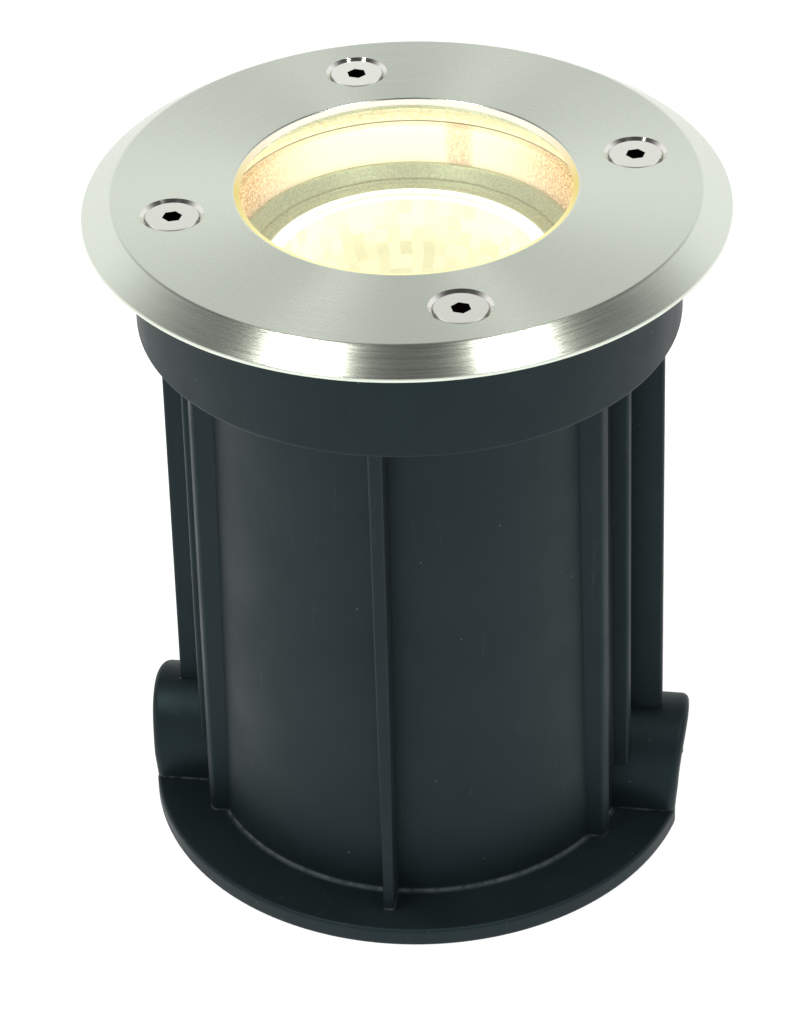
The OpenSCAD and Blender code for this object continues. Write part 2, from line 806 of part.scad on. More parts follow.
module terminal_tubes() {
    color([0.80, 0.66, 0.34]) in_unit() for (i = [-1:1]) translate([i * pole_pitch, 0, 0])
        difference() {
            translate([0, block_near + loose_gap, pole_z]) rotate([-90, 0, 0])
                cylinder(d = tube_d, h = block_depth - 2 * loose_gap);
            translate([0, block_near - cut, pole_z]) rotate([-90, 0, 0])
                cylinder(d = tube_bore, h = block_depth + 2 * cut);
            for (y = clamp_y) translate([0, y, pole_z])
                cylinder(r = clamp_tip_r + run_gap, h = tube_d);
        }
}

module terminal_screws() {
    tip_z = pole_z + lead_r + seat_gap;
    shoulder_z = pole_z + tube_d / 2 + loose_gap;
    color([0.76, 0.77, 0.78]) in_unit() for (i = [-1:1], y = clamp_y)
        translate([i * pole_pitch, y, 0]) difference() {
            union() {
                translate([0, 0, tip_z]) cylinder(r = clamp_tip_r, h = shoulder_z - tip_z + clamp_h / 2);
                translate([0, 0, shoulder_z]) cylinder(r = clamp_r, h = clamp_h);
            }
            translate([-clamp_r - cut, -small_slot_w / 2, shoulder_z + clamp_h - small_slot_h])
                cube([2 * (clamp_r + cut), small_slot_w, small_slot_h + cut]);
        }
}

module block_screw() {
    depth = post_h / 2;
    color([0.76, 0.77, 0.78]) in_unit()
        translate([pole_pitch / 2, block_near + block_depth / 2, bracket_z - depth])
            pan_screw(2 * block_screw_r, 2 * block_head_r, small_head_h, depth + web_h,
                small_slot_w, small_slot_h);
}

// Earth

module earth_screw() {
    head_d = earth_boss_d;
    depth = earth_boss_h - seat_gap;
    color([0.80, 0.68, 0.38]) in_unit() translate([0, -earth_offset, earth_z - depth])
        pan_screw(earth_screw_d, head_d, small_head_h, depth + lug_t, small_slot_w, small_slot_h);
}

barrel_wall = 0.6;
barrel_near = 5;
barrel_far = 10;

module earth_lug() {
    barrel_r = lead_r + loose_gap + barrel_wall;
    color([0.80, 0.80, 0.78]) in_unit() translate([0, -earth_offset, earth_z])
        rotate([0, 0, lug_angle]) difference() {
            union() {
                cylinder(d = earth_boss_d, h = lug_t);
                translate([0, -barrel_r, 0]) cube([barrel_near + lug_t, 2 * barrel_r, lug_t]);
                translate([barrel_near, 0, barrel_r]) rotate([0, 90, 0])
                    cylinder(r = barrel_r, h = barrel_far - barrel_near);
            }
            translate([0, 0, -cut]) cylinder(r = earth_screw_d / 2 + run_gap, h = lug_t + 2 * cut);
            translate([barrel_near + lug_t, 0, barrel_r]) rotate([0, 90, 0])
                cylinder(r = lead_r + loose_gap, h = barrel_far);
        }
}

// Leads: a round tube swept along a smooth curve through hand-set points

function unit_v(v) = v / norm(v);
function spline(p0, p1, p2, p3, t) = 0.5 * (2 * p1 + (p2 - p0) * t
    + (2 * p0 - 5 * p1 + 4 * p2 - p3) * t * t + (3 * p1 - p0 - 3 * p2 + p3) * t * t * t);
function curve(pts, steps) = let (n = len(pts), q = concat([2 * pts[0] - pts[1]], pts,
        [2 * pts[n - 1] - pts[n - 2]]))
    concat([for (i = [0:n - 2], k = [0:steps - 1])
        spline(q[i], q[i + 1], q[i + 2], q[i + 3], k / steps)], [pts[n - 1]]);
function tangents(p) = let (n = len(p))
    [for (i = [0:n - 1]) unit_v(p[min(i + 1, n - 1)] - p[max(i - 1, 0)])];
function carry(t, list, i = 1) = i == len(t) ? list
    : carry(t, concat(list, [unit_v(list[i - 1] - (list[i - 1] * t[i]) * t[i])]), i + 1);

module swept_tube(pts, r, sides, steps) {
    path = curve(pts, steps);
    t = tangents(path);
    first = unit_v(cross(t[0], unit_v([0.3, 0.9, 0.2])));
    normals = carry(t, [first]);
    m = len(path);
    points = [for (k = [0:m - 1], s = [0:sides - 1])
        let (a = 360 / sides * s) path[k] + r * (cos(a) * normals[k] + sin(a) * cross(t[k], normals[k]))];
    walls = [for (k = [0:m - 2], s = [0:sides - 1]) let (n = (s + 1) % sides)
        [k * sides + s, (k + 1) * sides + s, (k + 1) * sides + n, k * sides + n]];
    polyhedron(points = points, faces = concat([[for (s = [0:sides - 1]) s]], walls,
        [[for (s = [sides - 1:-1:0]) (m - 1) * sides + s]]));
}

lead_sides = 8;
lead_steps = 3;
mouth_y = block_near + block_depth / 4;

// Heights of a lead's points are counted from the end of the holder's contact tags
module lead(pts) {
    in_unit() translate([0, 0, bracket_z - bracket_t]) swept_tube(pts, lead_r, lead_sides, lead_steps);
}

// Last points of a lead: straight into its terminal at x
function into_pole(x) = let (z = pole_z - bracket_z + bracket_t)
    [[x, mouth_y - 3.3, z - 1.6], [x, mouth_y - 1.8, z], [x, mouth_y, z]];

module live_lead() {
    x0 = pin_pitch / 2;
    color([0.45, 0.25, 0.14]) lead(concat([
        [x0, 0, 0], [x0, 0, -1.4], [x0 + 0.6, 3, -2.7], [x0 + 1.6, 8, -2.6], [x0 + 2.1, 12.4, -1],
        [x0 + 2.2, 14.9, 2.4]], into_pole(pole_pitch)));
}

module neutral_lead() {
    x0 = -pin_pitch / 2;
    color([0.20, 0.36, 0.62]) lead(concat([
        [x0, 0, 0], [x0, 0, -1.4], [x0 + 0.6, 3, -2.7], [x0 + 2.4, 8, -2.6], [x0 + 4.4, 12.4, -1],
        [-0.1, 14.9, 2.4]], into_pole(0)));
}

module earth_lead() {
    barrel_r = lead_r + loose_gap + barrel_wall;
    near = barrel_far - barrel_near / 2;
    c = cos(lug_angle);
    s = sin(lug_angle);
    z = earth_z + barrel_r - bracket_z + bracket_t;
    color([0.45, 0.62, 0.20]) lead(concat([
        [near * c, near * s - earth_offset, z],
        [(barrel_far + 1) * c, (barrel_far + 1) * s - earth_offset, z - 0.1],
        [-9.6, -9, -1.7], [-12.4, -4, -2.5], [-13.4, 1, -2.6], [-12.2, 7, -2.5],
        [-9.4, 12.4, -1], [-7.6, 14.9, 2.2]], into_pole(-pole_pitch)));
}

// Cable gland

module gland_body() {
    thread_top = floor_z + locknut_h + washer_t;
    color([0.14, 0.14, 0.14]) in_unit() difference() {
        union() {
            hex_bar(gland_af, gland_hex_z, gland_hex_h);
            translate([0, 0, washer_z - cut]) cylinder(r = gland_r, h = thread_top - washer_z + cut);
            translate([0, 0, cap_z]) cylinder(r = cap_thread_r, h = gland_hex_z - cap_z + cut);
            translate([0, 0, claw_z])
                cylinder(r1 = gland_bore_r + claw_tip_t, r2 = cap_thread_r, h = cap_z - claw_z);
        }
        translate([0, 0, claw_z - cut]) cylinder(r = gland_bore_r, h = gland_hex_z - claw_z + cut);
        cylinder(r = gland_mouth_r, h = top_z);
        for (i = [0:claw_count / 2 - 1]) rotate([0, 0, 360 / claw_count * i])
            translate([-gland_af, -claw_slit_w / 2, claw_z - cut])
                cube([2 * gland_af, claw_slit_w, claw_slit_h + cut]);
    }
}

module gland_washer() {
    color([0.10, 0.10, 0.10]) in_unit()
        ring_of(gland_af / 2, gland_r + run_gap, washer_z, washer_t);
}

module gland_locknut() {
    color([0.15, 0.15, 0.15]) in_unit() difference() {
        hex_bar(gland_af + 2, floor_z, locknut_h);
        translate([0, 0, floor_z - cut]) cylinder(r = gland_r + run_gap, h = locknut_h + 2 * cut);
    }
}

module gland_seal() {
    color([0.08, 0.08, 0.08]) in_unit()
        ring_of(gland_bore_r - run_gap, cable_d / 2, claw_z, gland_hex_z - seat_gap - claw_z);
}

module gland_nut() {
    dome_z = gland_nut_top - gland_nut_hex_h;
    dome_r = gland_af / 2 - gland_bore_r;
    cone_h = cap_thread_r + run_gap - gland_bore_r;
    color([0.13, 0.13, 0.13]) in_unit() difference() {
        union() {
            hex_bar(gland_af, dome_z, gland_nut_hex_h);
            rotate_extrude() polygon(concat([[0, gland_nut_z]],
                arc_pts(gland_bore_r, dome_z, dome_r, -75, 0), [[0, dome_z]]));
        }
        translate([0, 0, gland_nut_z - cut]) cylinder(r = gland_mouth_r, h = nut_floor_t + 2 * cut);
        translate([0, 0, nut_hollow_z])
            cylinder(r1 = gland_bore_r, r2 = gland_bore_r + cone_h, h = cone_h);
        translate([0, 0, nut_hollow_z + cone_h])
            cylinder(r = cap_thread_r + run_gap, h = gland_nut_h);
    }
}

// Lamp

bowl_rings = 7;
bowl_sides = 30;
focus_share = 0.16;

// Where the reflector's glass body ends and the base takes over
base_top_z = lamp_z + lamp_base_h;
reflector_z = base_top_z - 1.5 * lamp_wall;
bowl_top_z = lamp_top_z - lamp_glass_t;
bowl_top_r = lamp_r - lamp_wall - loose_gap;
bowl_low_r = capsule_d / 2 + 4 * loose_gap;
bowl_low_z = base_top_z + lamp_wall;
lamp_neck_r = bowl_low_r + lamp_wall;

// A parabola through the bowl's lowest and highest ring
function bowl_r(share) = sqrt(bowl_low_r ^ 2 + (bowl_top_r ^ 2 - bowl_low_r ^ 2) * share);

// Corners of one ring of the bowl, each ring turned by half a step against the last
function bowl_ring(i, z_over) = let (share = (i / bowl_rings) ^ (1 + focus_share), r = bowl_r(share))
    [for (s = [0:bowl_sides - 1]) let (a = 360 / bowl_sides * (s + 0.5 * (i % 2)))
        [r * cos(a), r * sin(a), bowl_low_z + (bowl_top_z - bowl_low_z) * share + z_over]];

// The bowl's hollow: flat facets whose corners lie on the parabola, and a short straight rim
module facet_bowl() {
    n = bowl_sides;
    m = bowl_rings;
    points = [for (i = [0:m + 1]) each bowl_ring(min(i, m), i > m ? loose_gap : 0)];
    strips = [for (i = [0:m], s = [0:n - 1]) let (p = i * n + s, q = i * n + (s + 1) % n,
            u = p + n, v = q + n)
        each (i % 2 == 0 && i < m ? [[p, u, q], [q, u, v]] : [[p, u, v], [p, v, q]])];
    polyhedron(points = points, faces = concat([[for (s = [0:n - 1]) s]], strips,
        [[for (s = [n - 1:-1:0]) (m + 1) * n + s]]));
}

module lamp_reflector() {
    shoulder_z = lamp_top_z - lamp_rim_h;
    foot_r = lamp_base_flat / 2;
    shell_r = lamp_r - lamp_wall / 2;
    outer = [for (i = [0:round_steps * 2]) let (share = i / (round_steps * 2))
        [sqrt(foot_r ^ 2 + (shell_r ^ 2 - foot_r ^ 2) * share),
            base_top_z + (shoulder_z - base_top_z) * share]];
    color([0.95, 0.90, 0.76]) in_unit() difference() {
        rotate_extrude() polygon(concat(
            [[0, reflector_z], [lamp_neck_r, reflector_z], [lamp_neck_r, base_top_z]], outer,
            [[lamp_r, shoulder_z], [lamp_r, lamp_top_z], [0, lamp_top_z]]));
        facet_bowl();
        translate([0, 0, bowl_top_z])
            cylinder(r = bowl_top_r + loose_gap + run_gap, h = lamp_glass_t + cut);
        translate([0, 0, reflector_z - cut])
            cylinder(r = bowl_low_r - loose_gap, h = bowl_low_z - reflector_z + 2 * cut);
    }
}

module lamp_cover_glass() {
    color([0.95, 0.93, 0.85, 0.4]) in_unit()
        translate([0, 0, bowl_top_z]) cylinder(r = bowl_top_r + loose_gap, h = lamp_glass_t - loose_gap);
}

module lamp_capsule() {
    r = capsule_d / 2;
    low = lamp_z + lamp_base_h / 2;
    high = base_top_z + capsule_len;
    tip_r = r / 3;
    color([0.98, 0.93, 0.80, 0.6]) in_unit() rotate_extrude() polygon(concat(
        [[0, low], [r - loose_gap, low]],
        arc_pts(r / 2, high - r, r / 2, 0, 60),
        [[tip_r, high - r / 3], [0, high]]));
}

module lamp_base() {
    r = lamp_base_d / 2;
    capsule_z = lamp_z + lamp_base_h / 2;
    color([0.93, 0.92, 0.88]) in_unit() difference() {
        intersection() {
            translate([0, 0, lamp_z]) cylinder(r = r, h = lamp_base_h);
            translate([-r, -lamp_base_flat / 2, lamp_z]) cube([2 * r, lamp_base_flat, lamp_base_h]);
        }
        translate([0, 0, reflector_z - loose_gap])
            cylinder(r = lamp_neck_r + loose_gap, h = base_top_z - reflector_z + cut);
        translate([0, 0, capsule_z - loose_gap])
            cylinder(r = capsule_d / 2 + loose_gap, h = lamp_base_h);
        for (side = [-1, 1]) translate([side * pin_pitch / 2, 0, lamp_z - cut])
            cylinder(r = pin_r + run_gap, h = cut + lamp_base_h / 3);
    }
}

module lamp_pins() {
    root_h = lamp_base_h / 3 - loose_gap;
    color([0.80, 0.80, 0.80]) in_unit() for (side = [-1, 1])
        translate([side * pin_pitch / 2, 0, lamp_z - pin_len]) {
            cylinder(d = pin_head_d, h = pin_head_h);
            cylinder(d = pin_d, h = pin_len + root_h);
        }
}

pot_body();
pot_collar();
pot_foot();
pot_ribs();
cable_arches();
bezel();
glass_lens();
glass_gasket();
cover_screw(3);  // cover_screw_front
cover_screw(0);  // cover_screw_right
cover_screw(1);  // cover_screw_back
cover_screw(2);  // cover_screw_left
lamp_canister();
canister_rim();
floor_posts();
lamp_ring();
lamp_holder();
holder_cap();
holder_contacts();
holder_bracket();
bracket_screws();
holder_screws();
terminal_block();
terminal_tubes();
terminal_screws();
block_screw();
earth_screw();
earth_lug();
live_lead();
neutral_lead();
earth_lead();
gland_body();
gland_washer();
gland_locknut();
gland_seal();
gland_nut();
lamp_reflector();
lamp_cover_glass();
lamp_capsule();
lamp_base();
lamp_pins();
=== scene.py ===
# %% [markdown]
# # Dressing a recessed outdoor spotlight
#
# The object is an in-ground light. A moulded pot stays in the ground, and a light unit with a
# brushed stainless bezel drops into it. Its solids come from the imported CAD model, which this
# lesson takes as a fixed frame: a piece made here rides on a body of that frame, and a solid that
# a better piece stands for is hidden. Lengths are in metres, so a size in millimetres is written
# as a number times MM.

import json
import math

import bmesh
import bpy
from mathutils import Matrix, Vector

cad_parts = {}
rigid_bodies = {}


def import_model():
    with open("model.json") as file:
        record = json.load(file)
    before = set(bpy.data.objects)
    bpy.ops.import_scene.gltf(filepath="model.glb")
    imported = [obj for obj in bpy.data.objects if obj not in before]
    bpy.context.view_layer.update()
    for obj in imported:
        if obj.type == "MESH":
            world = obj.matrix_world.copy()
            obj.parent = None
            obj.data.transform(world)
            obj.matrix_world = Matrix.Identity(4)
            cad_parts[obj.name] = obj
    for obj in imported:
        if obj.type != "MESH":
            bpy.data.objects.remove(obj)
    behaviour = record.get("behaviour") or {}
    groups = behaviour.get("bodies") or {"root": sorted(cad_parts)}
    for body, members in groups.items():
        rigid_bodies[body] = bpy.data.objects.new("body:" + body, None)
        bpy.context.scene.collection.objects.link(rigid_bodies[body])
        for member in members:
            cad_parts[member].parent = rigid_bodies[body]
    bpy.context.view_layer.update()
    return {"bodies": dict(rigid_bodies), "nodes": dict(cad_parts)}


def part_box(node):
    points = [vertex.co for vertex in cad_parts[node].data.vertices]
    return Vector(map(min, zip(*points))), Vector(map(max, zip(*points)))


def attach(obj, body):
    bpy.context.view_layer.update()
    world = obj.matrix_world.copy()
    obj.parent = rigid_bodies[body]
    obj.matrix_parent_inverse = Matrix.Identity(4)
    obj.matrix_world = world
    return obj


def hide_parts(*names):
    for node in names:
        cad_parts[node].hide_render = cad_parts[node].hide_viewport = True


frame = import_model()
scene = bpy.context.scene
nodes = frame["nodes"]
MM = 0.001

# %% [markdown]
# ## Camera
#
# A photograph's camera can be found again from round outlines of known size. Here the bezel, the
# opening, the collar and the foot gave the distance, height, tilt and roll of a long lens. The
# object stands straight, so the camera walks round it by a few degrees instead. Its axes are built
# as three vectors and put into one matrix, which leaves nothing to aim by eye. The angles below
# are in radians.

# %% Camera
IMAGE_HEIGHT_PX = 1028
FOCAL_PX = 3804.95
SENSOR_MM = 36.0
WALK = math.radians(8.532)
PITCH = 0.61799
YAW = -0.00488
ROLL = -0.03019
CAMERA_REACH = 554.28 * MM
CAMERA_RISE = 325.77 * MM
bezel_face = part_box("bezel")[1].z

side = Vector((math.cos(WALK), math.sin(WALK), 0))
ahead = Vector((-math.sin(WALK), math.cos(WALK), 0))
up = Vector((0, 0, 1))
look = (side * math.cos(PITCH) * math.sin(YAW) + ahead * math.cos(PITCH) * math.cos(YAW)
    - up * math.sin(PITCH))
level_right = side * math.cos(YAW) - ahead * math.sin(YAW)
level_up = level_right.cross(look)
right = level_right * math.cos(ROLL) + level_up * math.sin(ROLL)
top = level_up * math.cos(ROLL) - level_right * math.sin(ROLL)

camera = bpy.data.objects.new("camera", bpy.data.cameras.new("camera"))
scene.collection.objects.link(camera)
camera.data.sensor_width = SENSOR_MM
camera.data.lens = FOCAL_PX * SENSOR_MM / IMAGE_HEIGHT_PX
camera.data.clip_start = 0.01
camera_place = -ahead * CAMERA_REACH + up * (bezel_face + CAMERA_RISE)
camera_turn = Matrix((right, top, -look)).transposed().to_4x4()
camera.matrix_world = Matrix.Translation(camera_place) @ camera_turn
scene.camera = camera
scene.view_settings.view_transform = "Standard"
print("lens in mm:", round(camera.data.lens, 1))

# %% [markdown]
# ## One helper for nodes, one for colours
#
# Colours are picked as sRGB hex values, as a paint chart gives them, and Blender's sockets want
# them linear. Every node tree below is written with one small function that adds a node, gives it
# its settings, and either links or sets each input. A Mix node has sockets for each kind of data:
# input 0 is its factor, 2 and 3 are numbers, 6 and 7 are colours, and a colour leaves at output 2.

# %% Helpers for colours and nodes
def linear(hex_colour, factor=1.0):
    """An sRGB hex colour as linear red, green, blue and alpha, made lighter or darker by a factor."""
    channels = [int(hex_colour[i:i + 2], 16) / 255 for i in (1, 3, 5)]
    straight = [c / 12.92 if c <= 0.04045 else ((c + 0.055) / 1.055) ** 2.4 for c in channels]
    return tuple(min(1.0, c * factor) for c in straight) + (1.0,)


def add(tree, kind, inputs=None, **settings):
    """Adds a node with its settings.

    An input is a value, another node's output, a node for its first output, or a list of such.
    """
    node = tree.nodes.new(kind)
    for name, value in settings.items():
        setattr(node, name, value)
    for name, wanted in (inputs or {}).items():
        for value in wanted if isinstance(wanted, list) else [wanted]:
            if isinstance(value, bpy.types.Node):
                value = value.outputs[0]
            if isinstance(value, bpy.types.NodeSocket):
                tree.links.new(value, node.inputs[name])
            else:
                node.inputs[name].default_value = value
    return node


def grain(size_mm):
    """The scale at which a texture on Object coordinates has grains of that size."""
    return 1 / (size_mm * MM)


def new_material(name):
    """An empty node material and its tree."""
    material = bpy.data.materials.new(name)
    material.use_nodes = True
    material.node_tree.nodes.clear()
    return material, material.node_tree


print("the grey #808080 in linear light:", round(linear("#808080")[0], 3))

# %% [markdown]
# ## Studio
#
# Brushed metal shows its surroundings more than its own colour, so the studio matters. The
# photograph was lit in a white room with a dim ceiling and two narrow soft boxes overhead: the
# bezel's chamfer mirrors the dark ceiling between two bright fans. The world gives rays that come
# straight from the camera or through glass plain white. Mirror rays see white walls that dim
# towards the ceiling, and the soft light on matte things comes from the same walls, a little weaker.

# %% World
WALL_TOP = 0.42
CEILING = 0.80
CEILING_GLOW = 0.07
SOFT_LIGHT = 0.62

world = bpy.data.worlds.new("studio")
scene.world = world
world.use_nodes = True
tree = world.node_tree
tree.nodes.clear()
direction = add(tree, "ShaderNodeTexCoord").outputs["Generated"]
height = add(tree, "ShaderNodeSeparateXYZ", {"Vector": direction}).outputs["Z"]
walls = add(tree, "ShaderNodeMapRange", {"Value": height, "From Min": WALL_TOP, "From Max": CEILING,
    "To Min": 1.0, "To Max": CEILING_GLOW}, interpolation_type="SMOOTHSTEP")
rays = add(tree, "ShaderNodeLightPath").outputs
share = add(tree, "ShaderNodeMapRange", {"Value": rays["Is Diffuse Ray"], "To Min": 1.0,
    "To Max": SOFT_LIGHT})
mirrored = add(tree, "ShaderNodeMath", {0: walls, 1: share}, operation="MULTIPLY")
plain = add(tree, "ShaderNodeMath", {0: rays["Is Camera Ray"], 1: rays["Is Transmission Ray"]},
    operation="MAXIMUM")
strength = add(tree, "ShaderNodeMix", {0: plain, 2: mirrored, 3: 1.0})
background = add(tree, "ShaderNodeBackground", {"Color": linear("#ffffff"), "Strength": strength})
add(tree, "ShaderNodeOutputWorld", {"Surface": background})
print("world: white walls, ceiling glow", CEILING_GLOW)

# %% Soft boxes
STRIP_SIZE = (0.10, 0.5)
STRIP_DISTANCE = 1.0
STRIP_NEARER = 0.13
STRIP_UP = 0.93
STRIPS = (("strip_left", -0.35, 4.6), ("strip_right", 0.34, 4.2))
KEY_SIZE = (0.8, 0.8)
KEY_PLACE = (-0.9, -0.9, 0.35)
KEY_AIM = 0.06
KEY_POWER = 6


def soft_box(name, place, aim, size, power, colour):
    """A rectangular lamp at a place, facing another, its long side towards the room's depth."""
    light = bpy.data.lights.new(name, "AREA")
    light.shape = "RECTANGLE"
    light.size, light.size_y = size
    light.energy = power
    light.color = linear(colour)[:3]
    box = bpy.data.objects.new(name, light)
    scene.collection.objects.link(box)
    away = (place - aim).normalized()
    across = ahead.cross(away).normalized()
    turn = Matrix((across, away.cross(across), away)).transposed().to_4x4()
    box.matrix_world = Matrix.Translation(place) @ turn
    return box


bezel_centre = up * bezel_face
for name, lean, power in STRIPS:
    towards = (side * lean - ahead * STRIP_NEARER + up * STRIP_UP).normalized()
    soft_box(name, bezel_centre + towards * STRIP_DISTANCE, bezel_centre, STRIP_SIZE, power, "#fffdf8")
key_place = bezel_centre + side * KEY_PLACE[0] + ahead * KEY_PLACE[1] + up * KEY_PLACE[2]
key = soft_box("key", key_place, up * KEY_AIM, KEY_SIZE, KEY_POWER, "#f7fbff")
key.visible_glossy = False

# %% [markdown]
# ## Floor
#
# The floor is paper white. A camera ray gets most of its white as a glow and the rest as shaded
# paper, so the sheet is white where light falls freely and still darkens softly under the object.

# %% Floor
FLOOR_REACH = 4.0
FLOOR_DROP = 0.05 * MM
PAPER_GLOW = 0.80

mesh = bpy.data.meshes.new("floor")
corners = [(x * FLOOR_REACH, y * FLOOR_REACH, -FLOOR_DROP)
    for x, y in ((-1, -1), (1, -1), (1, 1), (-1, 1))]
mesh.from_pydata(corners, [], [(0, 1, 2, 3)])
floor = bpy.data.objects.new("floor", mesh)
scene.collection.objects.link(floor)
material, tree = new_material("white studio paper")
rays = add(tree, "ShaderNodeLightPath").outputs
direct = add(tree, "ShaderNodeMath", {0: rays["Is Camera Ray"], 1: rays["Is Glossy Ray"]},
    operation="MAXIMUM")
shown = add(tree, "ShaderNodeMath", {0: direct, 1: rays["Is Transmission Ray"]}, operation="MAXIMUM")
paper = add(tree, "ShaderNodeBsdfDiffuse", {"Color": linear("#b8b8b8")})
glow = add(tree, "ShaderNodeEmission", {"Color": linear("#ffffff"), "Strength": PAPER_GLOW})
sheet = add(tree, "ShaderNodeAddShader", {0: paper, 1: glow})
mixed = add(tree, "ShaderNodeMixShader", {0: shown, 1: paper, 2: sheet})
add(tree, "ShaderNodeOutputMaterial", {"Surface": mixed})
mesh.materials.append(material)
print("floor:", FLOOR_REACH * 2, "m square")

# %% [markdown]
# ## Moulded pot plastic
#
# Glass-filled nylon, injection moulded in a spark-eroded tool: the skin is matte with a fine
# pebble grain of a third of a millimetre, almost black with a blue-grey sheen. Handling leaves
# pale dust in specks, a few faint scuffs, and a pale line where the body stands on the foot and a
# cloth doesn't reach. The specks come from the cell texture, kept small and sparse by a threshold
# on each cell's random colour. The pale line is a mask on height, broken up by the scuff noise.

# %% Moulded pot plastic
CLOUD_MM = 14
SPECK_CELL_MM = 1.6
SPECK_SHARE = 0.06
SCUFF_MM = 2.2
PEBBLE_MM = 0.35


def moulded_nylon(name, dark, light, roughness, dust, dust_line=None):
    """Matte moulded plastic: cloudy tone, pebble grain, dust, and a dusty line at a height in mm."""
    material, tree = new_material(name)
    place = add(tree, "ShaderNodeTexCoord").outputs["Object"]
    clouds = add(tree, "ShaderNodeTexNoise", {"Vector": place, "Scale": grain(CLOUD_MM), "Detail": 5.0,
        "Roughness": 0.6})
    tone = add(tree, "ShaderNodeMix", {0: clouds, 6: linear(dark), 7: linear(light)}, data_type="RGBA")
    cells = add(tree, "ShaderNodeTexVoronoi", {"Vector": place, "Scale": grain(SPECK_CELL_MM)}).outputs
    pick = add(tree, "ShaderNodeSeparateColor", {"Color": cells["Color"]})
    chosen = add(tree, "ShaderNodeMath", {0: pick, 1: 1 - SPECK_SHARE * dust}, operation="GREATER_THAN")
    near = add(tree, "ShaderNodeMapRange", {"Value": cells["Distance"], "From Min": 0.05,
        "From Max": 0.13, "To Min": dust * 0.5, "To Max": 0.0})
    speck = add(tree, "ShaderNodeMath", {0: chosen, 1: near}, operation="MULTIPLY")
    streaks = add(tree, "ShaderNodeMapping", {"Vector": place, "Scale": (1.0, 1.0, 0.16)})
    scuff = add(tree, "ShaderNodeTexNoise", {"Vector": streaks, "Scale": grain(SCUFF_MM), "Detail": 6.0,
        "Roughness": 0.7})
    worn = add(tree, "ShaderNodeMapRange", {"Value": scuff, "From Min": 0.62, "From Max": 0.8,
        "To Min": 0.0, "To Max": 0.10 * dust})
    marks = add(tree, "ShaderNodeMath", {0: speck, 1: worn}, operation="MAXIMUM")
    if dust_line:
        height = add(tree, "ShaderNodeSeparateXYZ", {"Vector": place}).outputs["Z"]
        above = add(tree, "ShaderNodeMath", {0: height, 1: dust_line * MM}, operation="SUBTRACT")
        distance = add(tree, "ShaderNodeMath", {0: above}, operation="ABSOLUTE")
        settled = add(tree, "ShaderNodeMapRange", {"Value": distance, "From Max": 0.35 * MM,
            "To Min": 0.2, "To Max": 0.0})
        broken = add(tree, "ShaderNodeMapRange", {"Value": scuff, "From Min": 0.35, "From Max": 0.65})
        line = add(tree, "ShaderNodeMath", {0: settled, 1: broken}, operation="MULTIPLY")
        marks = add(tree, "ShaderNodeMath", {0: marks, 1: line}, operation="MAXIMUM")
    dusty = add(tree, "ShaderNodeMix", {0: marks, 6: tone.outputs[2], 7: linear("#b9bdb8")},
        data_type="RGBA")
    pebbles = add(tree, "ShaderNodeTexNoise", {"Vector": place, "Scale": grain(PEBBLE_MM), "Detail": 2.0})
    bumps = add(tree, "ShaderNodeBump", {"Height": pebbles, "Strength": 0.35, "Distance": 0.05 * MM})
    sheen = add(tree, "ShaderNodeMapRange", {"Value": clouds, "From Min": 0.3, "From Max": 0.7,
        "To Min": roughness - 0.06, "To Max": roughness + 0.06})
    shader = add(tree, "ShaderNodeBsdfPrincipled", {"Base Color": dusty.outputs[2], "Roughness": sheen,
        "IOR": 1.53, "Normal": bumps, "Specular IOR Level": 0.34, "Specular Tint": linear("#c0ebf2")})
    add(tree, "ShaderNodeOutputMaterial", {"Surface": shader})
    return material


pot_plastic = moulded_nylon("moulded black nylon", "#0b1113", "#12191c", 0.52, 0.5, 3.75)
gland_plastic = moulded_nylon("gland nylon", "#1b1c1d", "#242526", 0.5, 0.2)
print("plastics:", pot_plastic.name, "and", gland_plastic.name)

# %% [markdown]
# ## Brushed steel
#
# The bezel is turned and then brushed while it spins, so the grain runs in circles. Such a surface
# is rough across the grain and smooth along it, and it spreads a highlight across the grain: that
# is what draws the fans of light. The tangent that the shader needs points outwards from the axis,
# and the grain itself is a noise read in circles, long round the ring and a sixth of a millimetre
# wide. True grit is finer, but it would not show at this size.

# %% Brushed steel
MARKS_ROUND = 4.5


def from_axis(tree, place):
    """The part of a place that lies away from the upright axis, and its direction."""
    flat = add(tree, "ShaderNodeVectorMath", {0: place, 1: (1, 1, 0)}, operation="MULTIPLY")
    return flat, add(tree, "ShaderNodeVectorMath", {0: flat}, operation="NORMALIZE")


